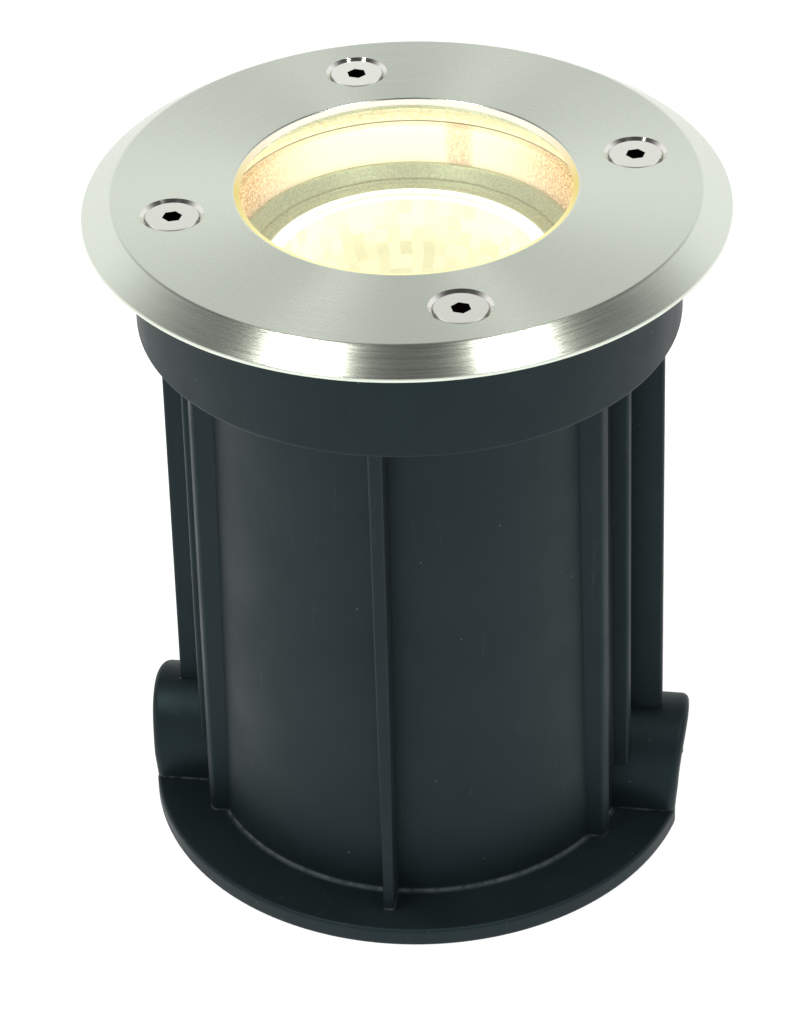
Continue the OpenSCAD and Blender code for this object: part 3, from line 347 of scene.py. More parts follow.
def brushed_steel(name, tint, grain_mm, roughness, anisotropy):
    """Steel brushed in circles about the Z axis."""
    material, tree = new_material(name)
    place = add(tree, "ShaderNodeTexCoord").outputs["Object"]
    flat, outwards = from_axis(tree, place)
    radius = add(tree, "ShaderNodeVectorMath", {0: flat}, operation="LENGTH").outputs["Value"]
    rings = add(tree, "ShaderNodeMath", {0: radius, 1: grain(grain_mm)}, operation="MULTIPLY")
    long_round = add(tree, "ShaderNodeVectorMath", {0: outwards, 1: (MARKS_ROUND, MARKS_ROUND, 0)},
        operation="MULTIPLY")
    stacked = add(tree, "ShaderNodeCombineXYZ", {"Z": rings})
    strokes = add(tree, "ShaderNodeVectorMath", {0: long_round, 1: stacked})
    brush = add(tree, "ShaderNodeTexNoise", {"Vector": strokes, "Scale": 1.0, "Detail": 3.0,
        "Roughness": 0.6})
    tone = add(tree, "ShaderNodeMix", {0: brush, 6: linear(tint, 0.96), 7: linear(tint, 1.04)},
        data_type="RGBA")
    rough = add(tree, "ShaderNodeMapRange", {"Value": brush, "From Min": 0.3, "From Max": 0.7,
        "To Min": roughness - 0.03, "To Max": roughness + 0.03})
    bumps = add(tree, "ShaderNodeBump", {"Height": brush, "Strength": 0.04, "Distance": 0.02 * MM})
    shader = add(tree, "ShaderNodeBsdfPrincipled", {"Base Color": tone.outputs[2], "Metallic": 1.0,
        "Roughness": rough, "Anisotropic": anisotropy, "Tangent": outwards, "Normal": bumps})
    add(tree, "ShaderNodeOutputMaterial", {"Surface": shader})
    return material


bezel_steel = brushed_steel("brushed stainless steel", "#e0e7da", 0.16, 0.27, 0.85)
print("made:", bezel_steel.name)

# %% [markdown]
# ## Plain metals
#
# The other metals differ in tint, polish and unevenness. The screws are tumbled until they shine.
# Zinc plating is grey and satin, brass warm, nickel pale and glossy. Die-cast aluminium has a dull,
# grainy skin from the mould. A turned countersink is almost a mirror. A hexagon socket gets a dark
# finish, painted shade for a hole that gives back hardly any of the light that enters it.

# %% Plain metals
def plain_metal(name, tint, grain_mm, roughness, unevenness=0.05, depth_mm=0.01):
    """Metal with an even, slightly uneven finish."""
    material, tree = new_material(name)
    place = add(tree, "ShaderNodeTexCoord").outputs["Object"]
    texture = add(tree, "ShaderNodeTexNoise", {"Vector": place, "Scale": grain(grain_mm), "Detail": 4.0})
    tone = add(tree, "ShaderNodeMix", {0: texture, 6: linear(tint, 1 - unevenness),
        7: linear(tint, 1 + unevenness)}, data_type="RGBA")
    rough = add(tree, "ShaderNodeMapRange", {"Value": texture, "From Min": 0.3, "From Max": 0.7,
        "To Min": roughness * 0.85, "To Max": roughness * 1.15})
    bumps = add(tree, "ShaderNodeBump", {"Height": texture, "Strength": 0.3, "Distance": depth_mm * MM})
    shader = add(tree, "ShaderNodeBsdfPrincipled", {"Base Color": tone.outputs[2], "Metallic": 1.0,
        "Roughness": rough, "Normal": bumps})
    add(tree, "ShaderNodeOutputMaterial", {"Surface": shader})
    return material


screw_steel = plain_metal("polished stainless steel", "#e9ebe2", 0.6, 0.10, 0.02, 0.003)
zinc_steel = plain_metal("zinc plated steel", "#b9bcbd", 0.5, 0.32)
cast_metal = plain_metal("die-cast aluminium", "#a9a59c", 0.5, 0.5, 0.16, 0.06)
brass = plain_metal("brass", "#c9a65a", 0.5, 0.28)
nickel = plain_metal("nickel plate", "#c9c6bf", 0.4, 0.2)
countersink_steel = plain_metal("turned countersink", "#e6e4de", 0.4, 0.09, 0.02, 0.002)
# Painted shade: the socket's dark finish stands for the shade inside the hole.
socket_shade_steel = plain_metal("deep socket painted shade", "#4a4030", 0.3, 0.3, 0.1, 0.004)
print("metals:", [m.name for m in (screw_steel, zinc_steel, cast_metal, brass, nickel)])

# %% [markdown]
# ## Glass, rubber, ceramic and sleeves
#
# Toughened lens glass is clear with a hint of green that only its edge shows. Real refraction is
# worth its cost here, because six millimetres of glass lift everything behind it by two. Rubber is
# black and dull, fired ceramic chalky, and the leads' silicone sleeves have a soft satin skin.

# %% Glass, rubber, ceramic and sleeves
def clear_glass(name, tint):
    """Polished glass that bends light."""
    material, tree = new_material(name)
    shader = add(tree, "ShaderNodeBsdfPrincipled", {"Base Color": linear(tint), "Roughness": 0.0,
        "IOR": 1.5, "Transmission Weight": 1.0})
    add(tree, "ShaderNodeOutputMaterial", {"Surface": shader})
    return material


def soft_finish(name, dark, light, grain_mm, roughness, depth_mm=0.03):
    """A non-metal with a fine uneven surface, such as silicone, rubber or fired clay."""
    material, tree = new_material(name)
    place = add(tree, "ShaderNodeTexCoord").outputs["Object"]
    texture = add(tree, "ShaderNodeTexNoise", {"Vector": place, "Scale": grain(grain_mm), "Detail": 4.0})
    tone = add(tree, "ShaderNodeMix", {0: texture, 6: linear(dark), 7: linear(light)}, data_type="RGBA")
    bumps = add(tree, "ShaderNodeBump", {"Height": texture, "Strength": 0.3, "Distance": depth_mm * MM})
    shader = add(tree, "ShaderNodeBsdfPrincipled", {"Base Color": tone.outputs[2],
        "Roughness": roughness, "Normal": bumps})
    add(tree, "ShaderNodeOutputMaterial", {"Surface": shader})
    return material


lens_glass = clear_glass("toughened glass", "#f4fbf4")
lamp_glass = clear_glass("lamp glass", "#fffdf4")
black_rubber = soft_finish("black rubber", "#121212", "#1c1c1c", 0.8, 0.7)
ceramic = soft_finish("steatite ceramic", "#e2dccd", "#eee9dd", 0.6, 0.6)
white_nylon = soft_finish("white nylon", "#e3e2dc", "#eeeee9", 1.5, 0.4, 0.01)
brown_sleeve = soft_finish("brown silicone sleeve", "#5a3018", "#6b3c20", 0.5, 0.5)
blue_sleeve = soft_finish("blue silicone sleeve", "#2a4f8a", "#34609f", 0.5, 0.5)
green_sleeve = soft_finish("green silicone sleeve", "#5c8a2c", "#88a83a", 0.5, 0.5)
print("materials so far:", len(bpy.data.materials))

# %% [markdown]
# ## Finishes inside the lit head
#
# The lamp is on, so what stands round it is seen in its warm light, and that light is painted into
# their colour and glow. The cast wall is speckled by the coarse skin of the casting, the gasket's
# painted glow stands for light that runs through it, and the lamp's rim is pressed glass that is
# brighter than anything else.

# %% Lit finishes
def lit_finish(name, dark, light, grain_mm, glow, glow_colour, roughness, metal=0.0):
    """A finish with the lamp's light painted in: speckled, with a fine bump and a painted glow that
    follows the specks.
    """
    material, tree = new_material(name)
    place = add(tree, "ShaderNodeTexCoord").outputs["Object"]
    texture = add(tree, "ShaderNodeTexNoise", {"Vector": place, "Scale": grain(grain_mm), "Detail": 3.0,
        "Roughness": 0.7})
    picked = add(tree, "ShaderNodeMapRange", {"Value": texture, "From Min": 0.35, "From Max": 0.62})
    tone = add(tree, "ShaderNodeMix", {0: picked, 6: linear(dark), 7: linear(light)}, data_type="RGBA")
    level = add(tree, "ShaderNodeMapRange", {"Value": picked, "To Min": glow * 0.6, "To Max": glow})
    bumps = add(tree, "ShaderNodeBump", {"Height": texture, "Strength": 0.4, "Distance": 0.08 * MM})
    shader = add(tree, "ShaderNodeBsdfPrincipled", {"Base Color": tone.outputs[2], "Metallic": metal,
        "Roughness": roughness, "Normal": bumps, "Emission Color": linear(glow_colour),
        "Emission Strength": level})
    add(tree, "ShaderNodeOutputMaterial", {"Surface": shader})
    return material


# The gasket's and the spun ring's glow is painted lamp light.
lit_gasket = lit_finish("lit silicone", "#f4e8cc", "#fff6e0", 0.8, 0.55, "#fff2d6", 0.4)
lit_rim = lit_finish("lit lamp rim", "#fff8e8", "#ffffff", 0.8, 1.1, "#fffaf0", 0.3)
lit_ring = lit_finish("lit spun aluminium", "#8c9078", "#a8a888", 0.4, 0.20, "#fff0b4", 0.35, 0.8)
print("lit finishes:", lit_gasket.name, lit_rim.name, lit_ring.name)

# %% [markdown]
# ### The lit wall
#
# One casting has two looks. Outside and below it is plain cast metal. In the bore above the lamp the
# lamp's light is painted into its colour and glow: a pale painted highlight at the back, which faces
# the camera, and warmer painted light, speckled by the casting's skin, at both sides. One narrow
# patch at the back takes the sides' warm tone as well. Masks on radius and height tell the bore from
# the rest, and the direction from the axis, held against the camera's heading, tells the back from
# the sides.

# %% Lit cast wall
SPECK_MM = 0.45
BORE_R = 31.5
LAMP_TOP_Z = 105
PATCH_AT = math.radians(80)


def lit_cast_wall():
    """Cast metal with the lamp's light painted on inside the bore."""
    material, tree = new_material("lit cast aluminium")
    place = add(tree, "ShaderNodeTexCoord").outputs["Object"]
    flat, outwards = from_axis(tree, place)
    to_back, to_patch = [
        add(tree, "ShaderNodeVectorMath", {0: outwards, 1: way}, operation="DOT_PRODUCT").outputs["Value"]
        for way in (tuple(ahead), (math.cos(PATCH_AT), math.sin(PATCH_AT), 0))]
    specks = add(tree, "ShaderNodeTexNoise", {"Vector": place, "Scale": grain(SPECK_MM), "Detail": 3.0,
        "Roughness": 0.75})
    # Painted light: the back, facing the camera, is a pale painted highlight; the sides and the patch get
    # warmer painted light.
    sideways = add(tree, "ShaderNodeMapRange", {"Value": to_back, "From Min": 0.40, "From Max": 0.97,
        "To Min": 1.0, "To Max": 0.0}, interpolation_type="SMOOTHSTEP")
    patch = add(tree, "ShaderNodeMapRange", {"Value": to_patch, "From Min": 0.9945,
        "From Max": 0.9996, "To Max": 0.6}, interpolation_type="SMOOTHSTEP")
    outside_painted_highlight = add(tree, "ShaderNodeMath", {0: sideways, 1: patch}, operation="MAXIMUM")
    picked = add(tree, "ShaderNodeMapRange", {"Value": specks, "From Min": 0.40, "From Max": 0.60,
        "To Min": 0.35, "To Max": 1.0})
    amount = add(tree, "ShaderNodeMath", {0: outside_painted_highlight, 1: picked}, operation="MULTIPLY")
    # Pale painted highlight at the back, warm painted lamp light with specks at the sides.
    lit_tone = add(tree, "ShaderNodeMix", {0: amount, 6: linear("#fff2d8"), 7: linear("#be8850")},
        data_type="RGBA")
    lit_level = add(tree, "ShaderNodeMapRange", {"Value": amount, "To Min": 0.62, "To Max": 0.5})
    radius = add(tree, "ShaderNodeVectorMath", {0: flat}, operation="LENGTH").outputs["Value"]
    height = add(tree, "ShaderNodeSeparateXYZ", {"Vector": place}).outputs["Z"]
    in_bore = add(tree, "ShaderNodeMath", {0: radius, 1: BORE_R * MM}, operation="LESS_THAN")
    over_lamp = add(tree, "ShaderNodeMath", {0: height, 1: LAMP_TOP_Z * MM}, operation="GREATER_THAN")
    lit = add(tree, "ShaderNodeMath", {0: in_bore, 1: over_lamp}, operation="MULTIPLY")
    cast = add(tree, "ShaderNodeMix", {0: specks, 6: linear("#8f8b83"), 7: linear("#b3afa6")},
        data_type="RGBA")
    tone = add(tree, "ShaderNodeMix", {0: lit, 6: cast.outputs[2], 7: lit_tone.outputs[2]},
        data_type="RGBA")
    level = add(tree, "ShaderNodeMath", {0: lit, 1: lit_level}, operation="MULTIPLY")
    bumps = add(tree, "ShaderNodeBump", {"Height": specks, "Strength": 0.4, "Distance": 0.08 * MM})
    shader = add(tree, "ShaderNodeBsdfPrincipled", {"Base Color": tone.outputs[2], "Metallic": 0.4,
        "Roughness": 0.5, "Normal": bumps, "Emission Color": tone.outputs[2],
        "Emission Strength": level})
    add(tree, "ShaderNodeOutputMaterial", {"Surface": shader})
    return material


lit_wall = lit_cast_wall()
print("made:", lit_wall.name)

# %% [markdown]
# ## The frame's own solids
#
# Most inner pieces have the right shape already, so they only need their finish. The table says
# which material each solid takes. A solid that a piece below replaces isn't in it.

# %% Finishes for the CAD solids
FINISHES = {
    "glass_lens": lens_glass, "glass_gasket": lit_gasket, "lamp_canister": lit_wall,
    "canister_rim": cast_metal, "floor_posts": cast_metal, "lamp_reflector": lit_rim,
    "lamp_cover_glass": lamp_glass, "lamp_capsule": lamp_glass, "lamp_base": ceramic,
    "lamp_pins": nickel, "lamp_holder": ceramic, "holder_cap": ceramic, "holder_contacts": brass,
    "holder_bracket": zinc_steel, "bracket_screws": zinc_steel, "holder_screws": zinc_steel,
    "terminal_block": white_nylon, "terminal_tubes": brass, "terminal_screws": zinc_steel,
    "block_screw": zinc_steel, "earth_screw": brass, "earth_lug": zinc_steel,
    "live_lead": brown_sleeve, "neutral_lead": blue_sleeve, "earth_lead": green_sleeve,
    "gland_body": gland_plastic, "gland_washer": black_rubber, "gland_locknut": gland_plastic,
    "gland_seal": black_rubber, "gland_nut": gland_plastic,
}
for name, material in FINISHES.items():
    nodes[name].data.materials.clear()
    nodes[name].data.materials.append(material)
print("solids with a finish:", len(FINISHES))

# %% [markdown]
# ## Soft outlines
#
# No edge on a made thing is sharp. A turned edge is broken with a file, a moulded one carries the
# cutter's radius. So outlines are lists of corners, each with how far it is cut back, and a
# small curve bridges the cut.

# %% Soft outlines
CORNER_STEPS = 4


def soft_outline(corners):
    """Points of a closed outline in metres. A corner is two coordinates and its cut, in mm."""
    points = []
    for i, (x, y, cut_back) in enumerate(corners):
        here = Vector((x, y)) * MM
        if not cut_back:
            points.append(here)
            continue
        towards = [(Vector(corners[j][:2]) * MM - here).normalized() * cut_back * MM
            for j in (i - 1, (i + 1) % len(corners))]
        for k in range(CORNER_STEPS + 1):
            t = k / CORNER_STEPS
            points.append(here + towards[0] * (1 - t) ** 2 + towards[1] * t ** 2)
    return points


SQUARE = ((0, 0, 1), (9, 0, 1), (9, 9, 1), (0, 9, 1))
print("points round a softened square:", len(soft_outline(SQUARE)))

# %% [markdown]
# ## Closed meshes
#
# Most shapes here are a grid: one outline carried through rows of places. The grid is closed, its
# doubles are welded, and its faces are turned outwards, because a boolean and a bake both need to
# know the inside from the outside.

# %% Closed meshes
WELD = 1e-7


def from_grid(name, rows, close_rows=True):
    """A closed mesh through rows of points. The last row joins the first, or else both are caps."""
    made = bmesh.new()
    rings = [[made.verts.new(p) for p in row] for row in rows]
    count = len(rings)
    for i in range(count if close_rows else count - 1):
        first, second = rings[i], rings[(i + 1) % count]
        for k in range(len(first)):
            n = (k + 1) % len(first)
            made.faces.new((first[k], first[n], second[n], second[k]))
    if not close_rows:
        made.faces.new(rings[0])
        made.faces.new(rings[-1])
    bmesh.ops.remove_doubles(made, verts=made.verts, dist=WELD)
    bmesh.ops.recalc_face_normals(made, faces=made.faces)
    mesh = bpy.data.meshes.new(name)
    made.to_mesh(mesh)
    made.free()
    return mesh


def joined(name, meshes):
    """One mesh of several."""
    made = bmesh.new()
    for mesh in meshes:
        made.from_mesh(mesh)
    whole = bpy.data.meshes.new(name)
    made.to_mesh(whole)
    made.free()
    return whole


print("mesh helpers ready, weld at", WELD, "m")

# %% [markdown]
# ## Finished pieces
#
# A piece is shaded smooth except over its sharp edges. Weighted normals keep the big faces flat in
# the light although their edges are rounded. A revolve turns an outline about an upright axis. The
# frame's parents tell which body each solid belongs to, and a new piece rides on the same one.

# %% Finished pieces
def mark_edges(mesh, angle=35):
    """Smooth shading, except over edges that turn by more than the angle."""
    made = bmesh.new()
    made.from_mesh(mesh)
    for face in made.faces:
        face.smooth = True
    for edge in made.edges:
        edge.smooth = len(edge.link_faces) == 2 and edge.calc_face_angle() < math.radians(angle)
    made.to_mesh(mesh)
    made.free()


def finished(name, mesh, materials, angle=35):
    """An object of a mesh with its materials, smooth but for edges sharper than the angle."""
    for material in materials:
        mesh.materials.append(material)
    mark_edges(mesh, angle)
    piece = bpy.data.objects.new(name, mesh)
    scene.collection.objects.link(piece)
    weigh = piece.modifiers.new("flat faces stay flat", "WEIGHTED_NORMAL")
    weigh.keep_sharp = True
    return piece


def revolve(name, outline, materials, steps=192, centre=(0, 0)):
    """Turns a closed outline of radius, height and cut in mm about an upright axis at the centre."""
    turns = [(math.cos(math.tau * k / steps), math.sin(math.tau * k / steps)) for k in range(steps)]
    rows = [[(centre[0] + p.x * c, centre[1] + p.x * s, p.y) for c, s in turns]
        for p in soft_outline(outline)]
    return finished(name, from_grid(name, rows), materials)


BODY_OF = {node: body for body, empty in frame["bodies"].items()
    for node in nodes if nodes[node].parent == empty}

# %% [markdown]
# ## Cutting
#
# Holes are made as in the workshop, with a tool. The weighted normals are off while the cut is
# worked out, since they belong after it, and the edges are marked again, as the cut makes new ones.

# %% Cutting
def cut(piece, *tools):
    """Cuts closed tools out of a piece. The cut faces keep the tools' material, and the tools go."""
    weigh = piece.modifiers[0]
    weigh.show_viewport = False
    for tool in tools:
        step = piece.modifiers.new("cut", "BOOLEAN")
        step.operation = "DIFFERENCE"
        step.solver = "EXACT"
        step.object = tool
        step.material_mode = "TRANSFER"
    graph = bpy.context.evaluated_depsgraph_get()
    shaped = bpy.data.meshes.new_from_object(piece.evaluated_get(graph))
    for step in [m for m in piece.modifiers if m.type == "BOOLEAN"]:
        piece.modifiers.remove(step)
    weigh.show_viewport = True
    piece.data = shaped
    mark_edges(shaped)
    for tool in tools:
        bpy.data.objects.remove(tool)


print("cutting helper ready")

# %% [markdown]
# ## Helpers for Geometry Nodes
#
# A tree gets named inputs for its sizes and grows on an empty mesh. The result is taken as a plain
# mesh, and the modifier goes with the seed that carried it.

# %% Helpers for Geometry Nodes
def node_tree(name, **inputs):
    """A Geometry Nodes tree with named inputs, and the sockets that carry them."""
    tree = bpy.data.node_groups.new(name, "GeometryNodeTree")
    kinds = {float: "NodeSocketFloat", int: "NodeSocketInt", tuple: "NodeSocketVector"}
    for key, value in inputs.items():
        socket = tree.interface.new_socket(key, in_out="INPUT", socket_type=kinds[type(value)])
        socket.default_value = value
    tree.interface.new_socket("Geometry", in_out="OUTPUT", socket_type="NodeSocketGeometry")
    return tree, add(tree, "NodeGroupInput").outputs


def end_tree(tree, geometry, material):
    """Makes instances real and sets their material, as the end of a tree."""
    real = add(tree, "GeometryNodeRealizeInstances", {"Geometry": geometry})
    painted = add(tree, "GeometryNodeSetMaterial", {"Geometry": real, "Material": material})
    add(tree, "NodeGroupOutput", {0: painted})


def grown(tree, **inputs):
    """Runs a tree with these inputs and gives back the plain mesh that it made."""
    seed = bpy.data.objects.new("seed", bpy.data.meshes.new("seed"))
    scene.collection.objects.link(seed)
    step = seed.modifiers.new("grow", "NODES")
    step.node_group = tree
    for socket in tree.interface.items_tree:
        if socket.in_out == "INPUT" and socket.name in inputs:
            step[socket.identifier] = inputs[socket.name]
    graph = bpy.context.evaluated_depsgraph_get()
    mesh = bpy.data.meshes.new_from_object(seed.evaluated_get(graph))
    bpy.data.objects.remove(seed)
    return mesh


print("node helpers ready")

# %% [markdown]
# ## The pot's shell
#
# The moulding is one piece: a tapered wall, a collar that takes the light unit, and a foot flange.
# Its outline turns once round the axis, and both cable tunnels are cut straight through the foot
# with one long tool. Two small tools clear the flange's corners beside the arches' mouths.

# %% Pot shell
FLANGE_TOP = 3.4
COLLAR_Z = 103.0
HALF_TUNNEL = 9.9
TUNNEL_AXIS = 7.0
TUNNEL_STEPS = 24
TOOL_REACH = 60
TOOL_LOW = -1
POT_OUTLINE = ((36.5, 0, 0.2), (49.4, 0, 0.5), (49.4, FLANGE_TOP, 0.7), (38.65, FLANGE_TOP, 1.0),
    (37.2, COLLAR_Z, 0.3), (46.9, COLLAR_Z, 0.7), (46.9, 119.4, 0.5), (44.6, 119.4, 0.3),
    (44.6, 105.3, 0.3), (35, 105.3, 0.2))
# Distance from the axis and half width, from inside to outside.
MOUTH_PLAN = ((45.4, 9.8), (47.0, 9.95), (50.6, 13))

pot_shell = revolve("pot_shell", POT_OUTLINE, [pot_plastic])
arc = [math.pi * k / TUNNEL_STEPS for k in range(TUNNEL_STEPS + 1)]
profile = [(-HALF_TUNNEL, TOOL_LOW), (HALF_TUNNEL, TOOL_LOW)]
profile += [(HALF_TUNNEL * math.cos(a), TUNNEL_AXIS + HALF_TUNNEL * math.sin(a)) for a in arc]
rows = [[(x * MM, y * MM, z * MM) for y, z in profile] for x in (-TOOL_REACH, TOOL_REACH)]
tools = [finished("tunnel", from_grid("tunnel", rows, False), [pot_plastic])]
plan = [(x, -half) for x, half in MOUTH_PLAN] + [(x, half) for x, half in reversed(MOUTH_PLAN)]
for way in (1, -1):
    rows = [[(way * x * MM, y * MM, z * MM) for x, y in plan] for z in (TOOL_LOW, FLANGE_TOP + 0.2)]
    tools.append(finished("mouth", from_grid("mouth", rows, False), [pot_plastic]))
cut(pot_shell, *tools)
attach(pot_shell, BODY_OF["pot_body"])
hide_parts("pot_body", "pot_collar", "pot_foot")
print("pot shell:", len(pot_shell.data.polygons), "faces")

# %% [markdown]
# ## Ribs
#
# Twelve thin ribs stiffen the wall. Each is drawn as a small rounded rectangle, raised from
# where it starts to the collar, and bent by one rule: its outer edge follows a cone that widens
# towards the foot, as the moulding tool needs to let go, and its inner edge stays inside the
# wall. Geometry Nodes suits them because all differ only in a few sizes. A tree makes a rib and
# its opposite.

# %% Rib tree
ROOT_R = 36.85
DRAFT = 0.9
RIB_DEPTH = 6 * MM
RIB_EDGE = 0.5 * MM

tree, given = node_tree("pot rib", Reach=0.043, Middle=0.0, Thickness=0.002, FootThickness=0.002,
    Low=0.003, Turn=0.0)
section = add(tree, "GeometryNodeCurvePrimitiveQuadrilateral", {"Width": RIB_DEPTH,
    "Height": given["Thickness"]})
rounded = add(tree, "GeometryNodeFilletCurve", {"Curve": section, "Count": 4, "Radius": RIB_EDGE},
    mode="POLY")
face = add(tree, "GeometryNodeFillCurve", {"Curve": rounded}, mode="NGONS")
middle_x = add(tree, "ShaderNodeMath", {0: given["Reach"], 1: RIB_DEPTH / 2}, operation="SUBTRACT")
shift = add(tree, "ShaderNodeCombineXYZ", {"X": middle_x, "Z": given["Low"]})
placed = add(tree, "GeometryNodeTransform", {"Geometry": face, "Translation": shift})
tall = add(tree, "ShaderNodeMath", {0: COLLAR_Z * MM, 1: given["Low"]}, operation="SUBTRACT")
raised = add(tree, "GeometryNodeExtrudeMesh", {"Mesh": placed, "Offset": (0, 0, 1),
    "Offset Scale": tall, "Individual": False}, mode="FACES")
base = add(tree, "GeometryNodeFlipFaces", {"Mesh": placed})
both = add(tree, "GeometryNodeJoinGeometry", {0: [raised, base]})
closed = add(tree, "GeometryNodeMergeByDistance", {"Geometry": both, "Distance": 0.001 * MM})

# The share of the way down from the collar sets the thickness and the reach.
position = add(tree, "GeometryNodeInputPosition")
at = add(tree, "ShaderNodeSeparateXYZ", {"Vector": position}).outputs
below = add(tree, "ShaderNodeMath", {0: COLLAR_Z * MM, 1: at["Z"]}, operation="SUBTRACT")
sunk = add(tree, "ShaderNodeMath", {0: below, 1: COLLAR_Z * MM}, operation="DIVIDE")
foot_ratio = add(tree, "ShaderNodeMath", {0: given["FootThickness"], 1: given["Thickness"]},
    operation="DIVIDE")
thinning = add(tree, "ShaderNodeMix", {0: sunk, 2: 1.0, 3: foot_ratio})
side_y = add(tree, "ShaderNodeMath", {0: at["Y"], 1: thinning, 2: given["Middle"]},
    operation="MULTIPLY_ADD")
reach = add(tree, "ShaderNodeMath", {0: sunk, 1: DRAFT * MM, 2: given["Reach"]},
    operation="MULTIPLY_ADD")

# A circle's rule gives the place of each edge: x is the root of the radius squared less y squared.
y_square = add(tree, "ShaderNodeMath", {0: side_y, 1: side_y}, operation="MULTIPLY")
reach_square = add(tree, "ShaderNodeMath", {0: reach, 1: reach}, operation="MULTIPLY")
outer_square = add(tree, "ShaderNodeMath", {0: reach_square, 1: y_square}, operation="SUBTRACT")
inner_square = add(tree, "ShaderNodeMath", {0: (ROOT_R * MM) ** 2, 1: y_square}, operation="SUBTRACT")
on_cone = add(tree, "ShaderNodeMath", {0: outer_square}, operation="SQRT")
behind = add(tree, "ShaderNodeMath", {0: at["X"], 1: given["Reach"]}, operation="SUBTRACT")
outer = add(tree, "ShaderNodeMath", {0: on_cone, 1: behind}, operation="ADD")
inner = add(tree, "ShaderNodeMath", {0: inner_square}, operation="SQRT")
is_outer = add(tree, "ShaderNodeMath", {0: at["X"], 1: middle_x}, operation="GREATER_THAN")
bent_x = add(tree, "ShaderNodeMix", {0: is_outer, 2: inner, 3: outer})
bent = add(tree, "ShaderNodeCombineXYZ", {"X": bent_x, "Y": side_y, "Z": at["Z"]})
shaped = add(tree, "GeometryNodeSetPosition", {"Geometry": closed, "Position": bent})

copies = []
for extra in (0.0, math.pi):
    angle = add(tree, "ShaderNodeMath", {0: given["Turn"], 1: extra}, operation="ADD")
    turn = add(tree, "ShaderNodeCombineXYZ", {"Z": angle})
    copies.append(add(tree, "GeometryNodeTransform", {"Geometry": shaped, "Rotation": turn}))
pair = add(tree, "GeometryNodeJoinGeometry", {0: copies})
end_tree(tree, pair, pot_plastic)
print("rib tree:", len(tree.nodes), "nodes")

# %% Ribs
# Reach, middle of the thickness, thickness at the collar and at the foot, low end, turn in degrees.
RIBS = ((43.4, 0.0, 2.5, 2.0, 3.3, 90), (44.1, 0.0, 2.4, 2.4, 17.9, 0), (40.1, 9.55, 1.9, 1.9, 12.3, 0),
    (40.1, -9.55, 1.9, 1.9, 12.3, 0), (40.4, 19.2, 2.0, 2.0, 3.3, 0), (40.4, -19.2, 2.0, 2.0, 3.3, 0))
pairs = [grown(tree, Reach=reach * MM, Middle=middle * MM, Thickness=at_top * MM,
    FootThickness=at_foot * MM, Low=low * MM, Turn=math.radians(turn))
    for reach, middle, at_top, at_foot, low, turn in RIBS]
ribs = finished("pot_rib_set", joined("pot_rib_set", pairs), [pot_plastic])
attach(ribs, BODY_OF["pot_ribs"])
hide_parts("pot_ribs")
print("ribs:", len(RIBS) * 2, "with", len(ribs.data.polygons), "faces")

# %% [markdown]
# ## Cable arches
#
# A cable that comes along the ground enters under either of two arches. Each is a loop of
# stations, out along the skin, round the rim and back along the tunnel, carried over the arch's
# outline from one leg to the other. The ends follow the round foot, so every point takes its
# distance from the pot's axis and not from a flat plane.

# %% Cable arches
ARCH_R = 11.9
ARCH_WALL = 1.97
ARCH_STEPS = 32
ARCH_START = 37.3
FOOT_REACH = 49.25
RIM = 1.1
RIM_STEPS = 5
LEG_HEIGHTS = (0.05, FLANGE_TOP, 5.2)
FLARE = 0.4
FLARE_START = 44.0
FLARE_RISE = 5

# Each station is a distance from the pot's axis and a depth under the arch's skin.
stations = [(ARCH_START, 0.0), (FLARE_START, 0.0), (FOOT_REACH - RIM, 0.0)]
for k in range(1, RIM_STEPS + 1):
    turn = math.pi / 2 * k / RIM_STEPS
    stations.append((FOOT_REACH - RIM + RIM * math.sin(turn), RIM * (1 - math.cos(turn))))
stations += [(FOOT_REACH, ARCH_WALL), (FLARE_START, ARCH_WALL), (ARCH_START, ARCH_WALL)]
path = [(0.0, z) for z in LEG_HEIGHTS]
path += [(math.pi * k / ARCH_STEPS, TUNNEL_AXIS) for k in range(ARCH_STEPS + 1)]
path += [(math.pi, z) for z in reversed(LEG_HEIGHTS)]
arches = []
for way in (1, -1):
    rows = []
    for angle, middle_z in path:
        row = []
        for out, inset in stations:
            y = (ARCH_R - inset) * math.cos(angle)
            z = middle_z + (ARCH_R - inset) * math.sin(angle)
            if out > FLARE_START:
                out += FLARE * min(1.0, max(0.0, (z - FLANGE_TOP) / FLARE_RISE))
            row.append((way * math.sqrt(out * out - y * y) * MM, y * MM, z * MM))
        rows.append(row)
    arches.append(from_grid("arch", rows, False))
arch_pair = finished("arch_pair", joined("arch_pair", arches), [pot_plastic])
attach(arch_pair, BODY_OF["cable_arches"])
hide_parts("cable_arches")
print("arches:", len(arch_pair.data.polygons), "faces")

# %% [markdown]
# ## Bezel
#
# The bezel is pressed from thick sheet and its face is turned, then brushed. The four
# countersinks are cut after brushing, so they are bright rings in the grain. That is why the
# cutting tools carry a material of their own.

# %% Bezel
FACE_Z = bezel_face / MM
COUNTERSINK_R = 5.36
HOLE_R = 2.8
NECK_Z = FACE_Z - (COUNTERSINK_R - HOLE_R)
TOOL_FOOT = 122
TOOL_OVER = 0.8
BEZEL_OUTLINE = ((29, 125, 0.15), (29, 127, 0.4), (50, 127, 0.3), (55, 123.6, 0.25), (55, 123, 0.2),
    (47.2, 123, 0.1), (47.2, 123.5, 0.1), (35.7, 123.5, 0.1), (35.7, 125, 0.1))
TOOL_OUTLINE = ((0, TOOL_FOOT, 0), (HOLE_R, TOOL_FOOT, 0), (HOLE_R, NECK_Z, 0),
    (COUNTERSINK_R + TOOL_OVER, FACE_Z + TOOL_OVER, 0), (0, FACE_Z + TOOL_OVER, 0))
SCREWS = ("cover_screw_front", "cover_screw_right", "cover_screw_back", "cover_screw_left")

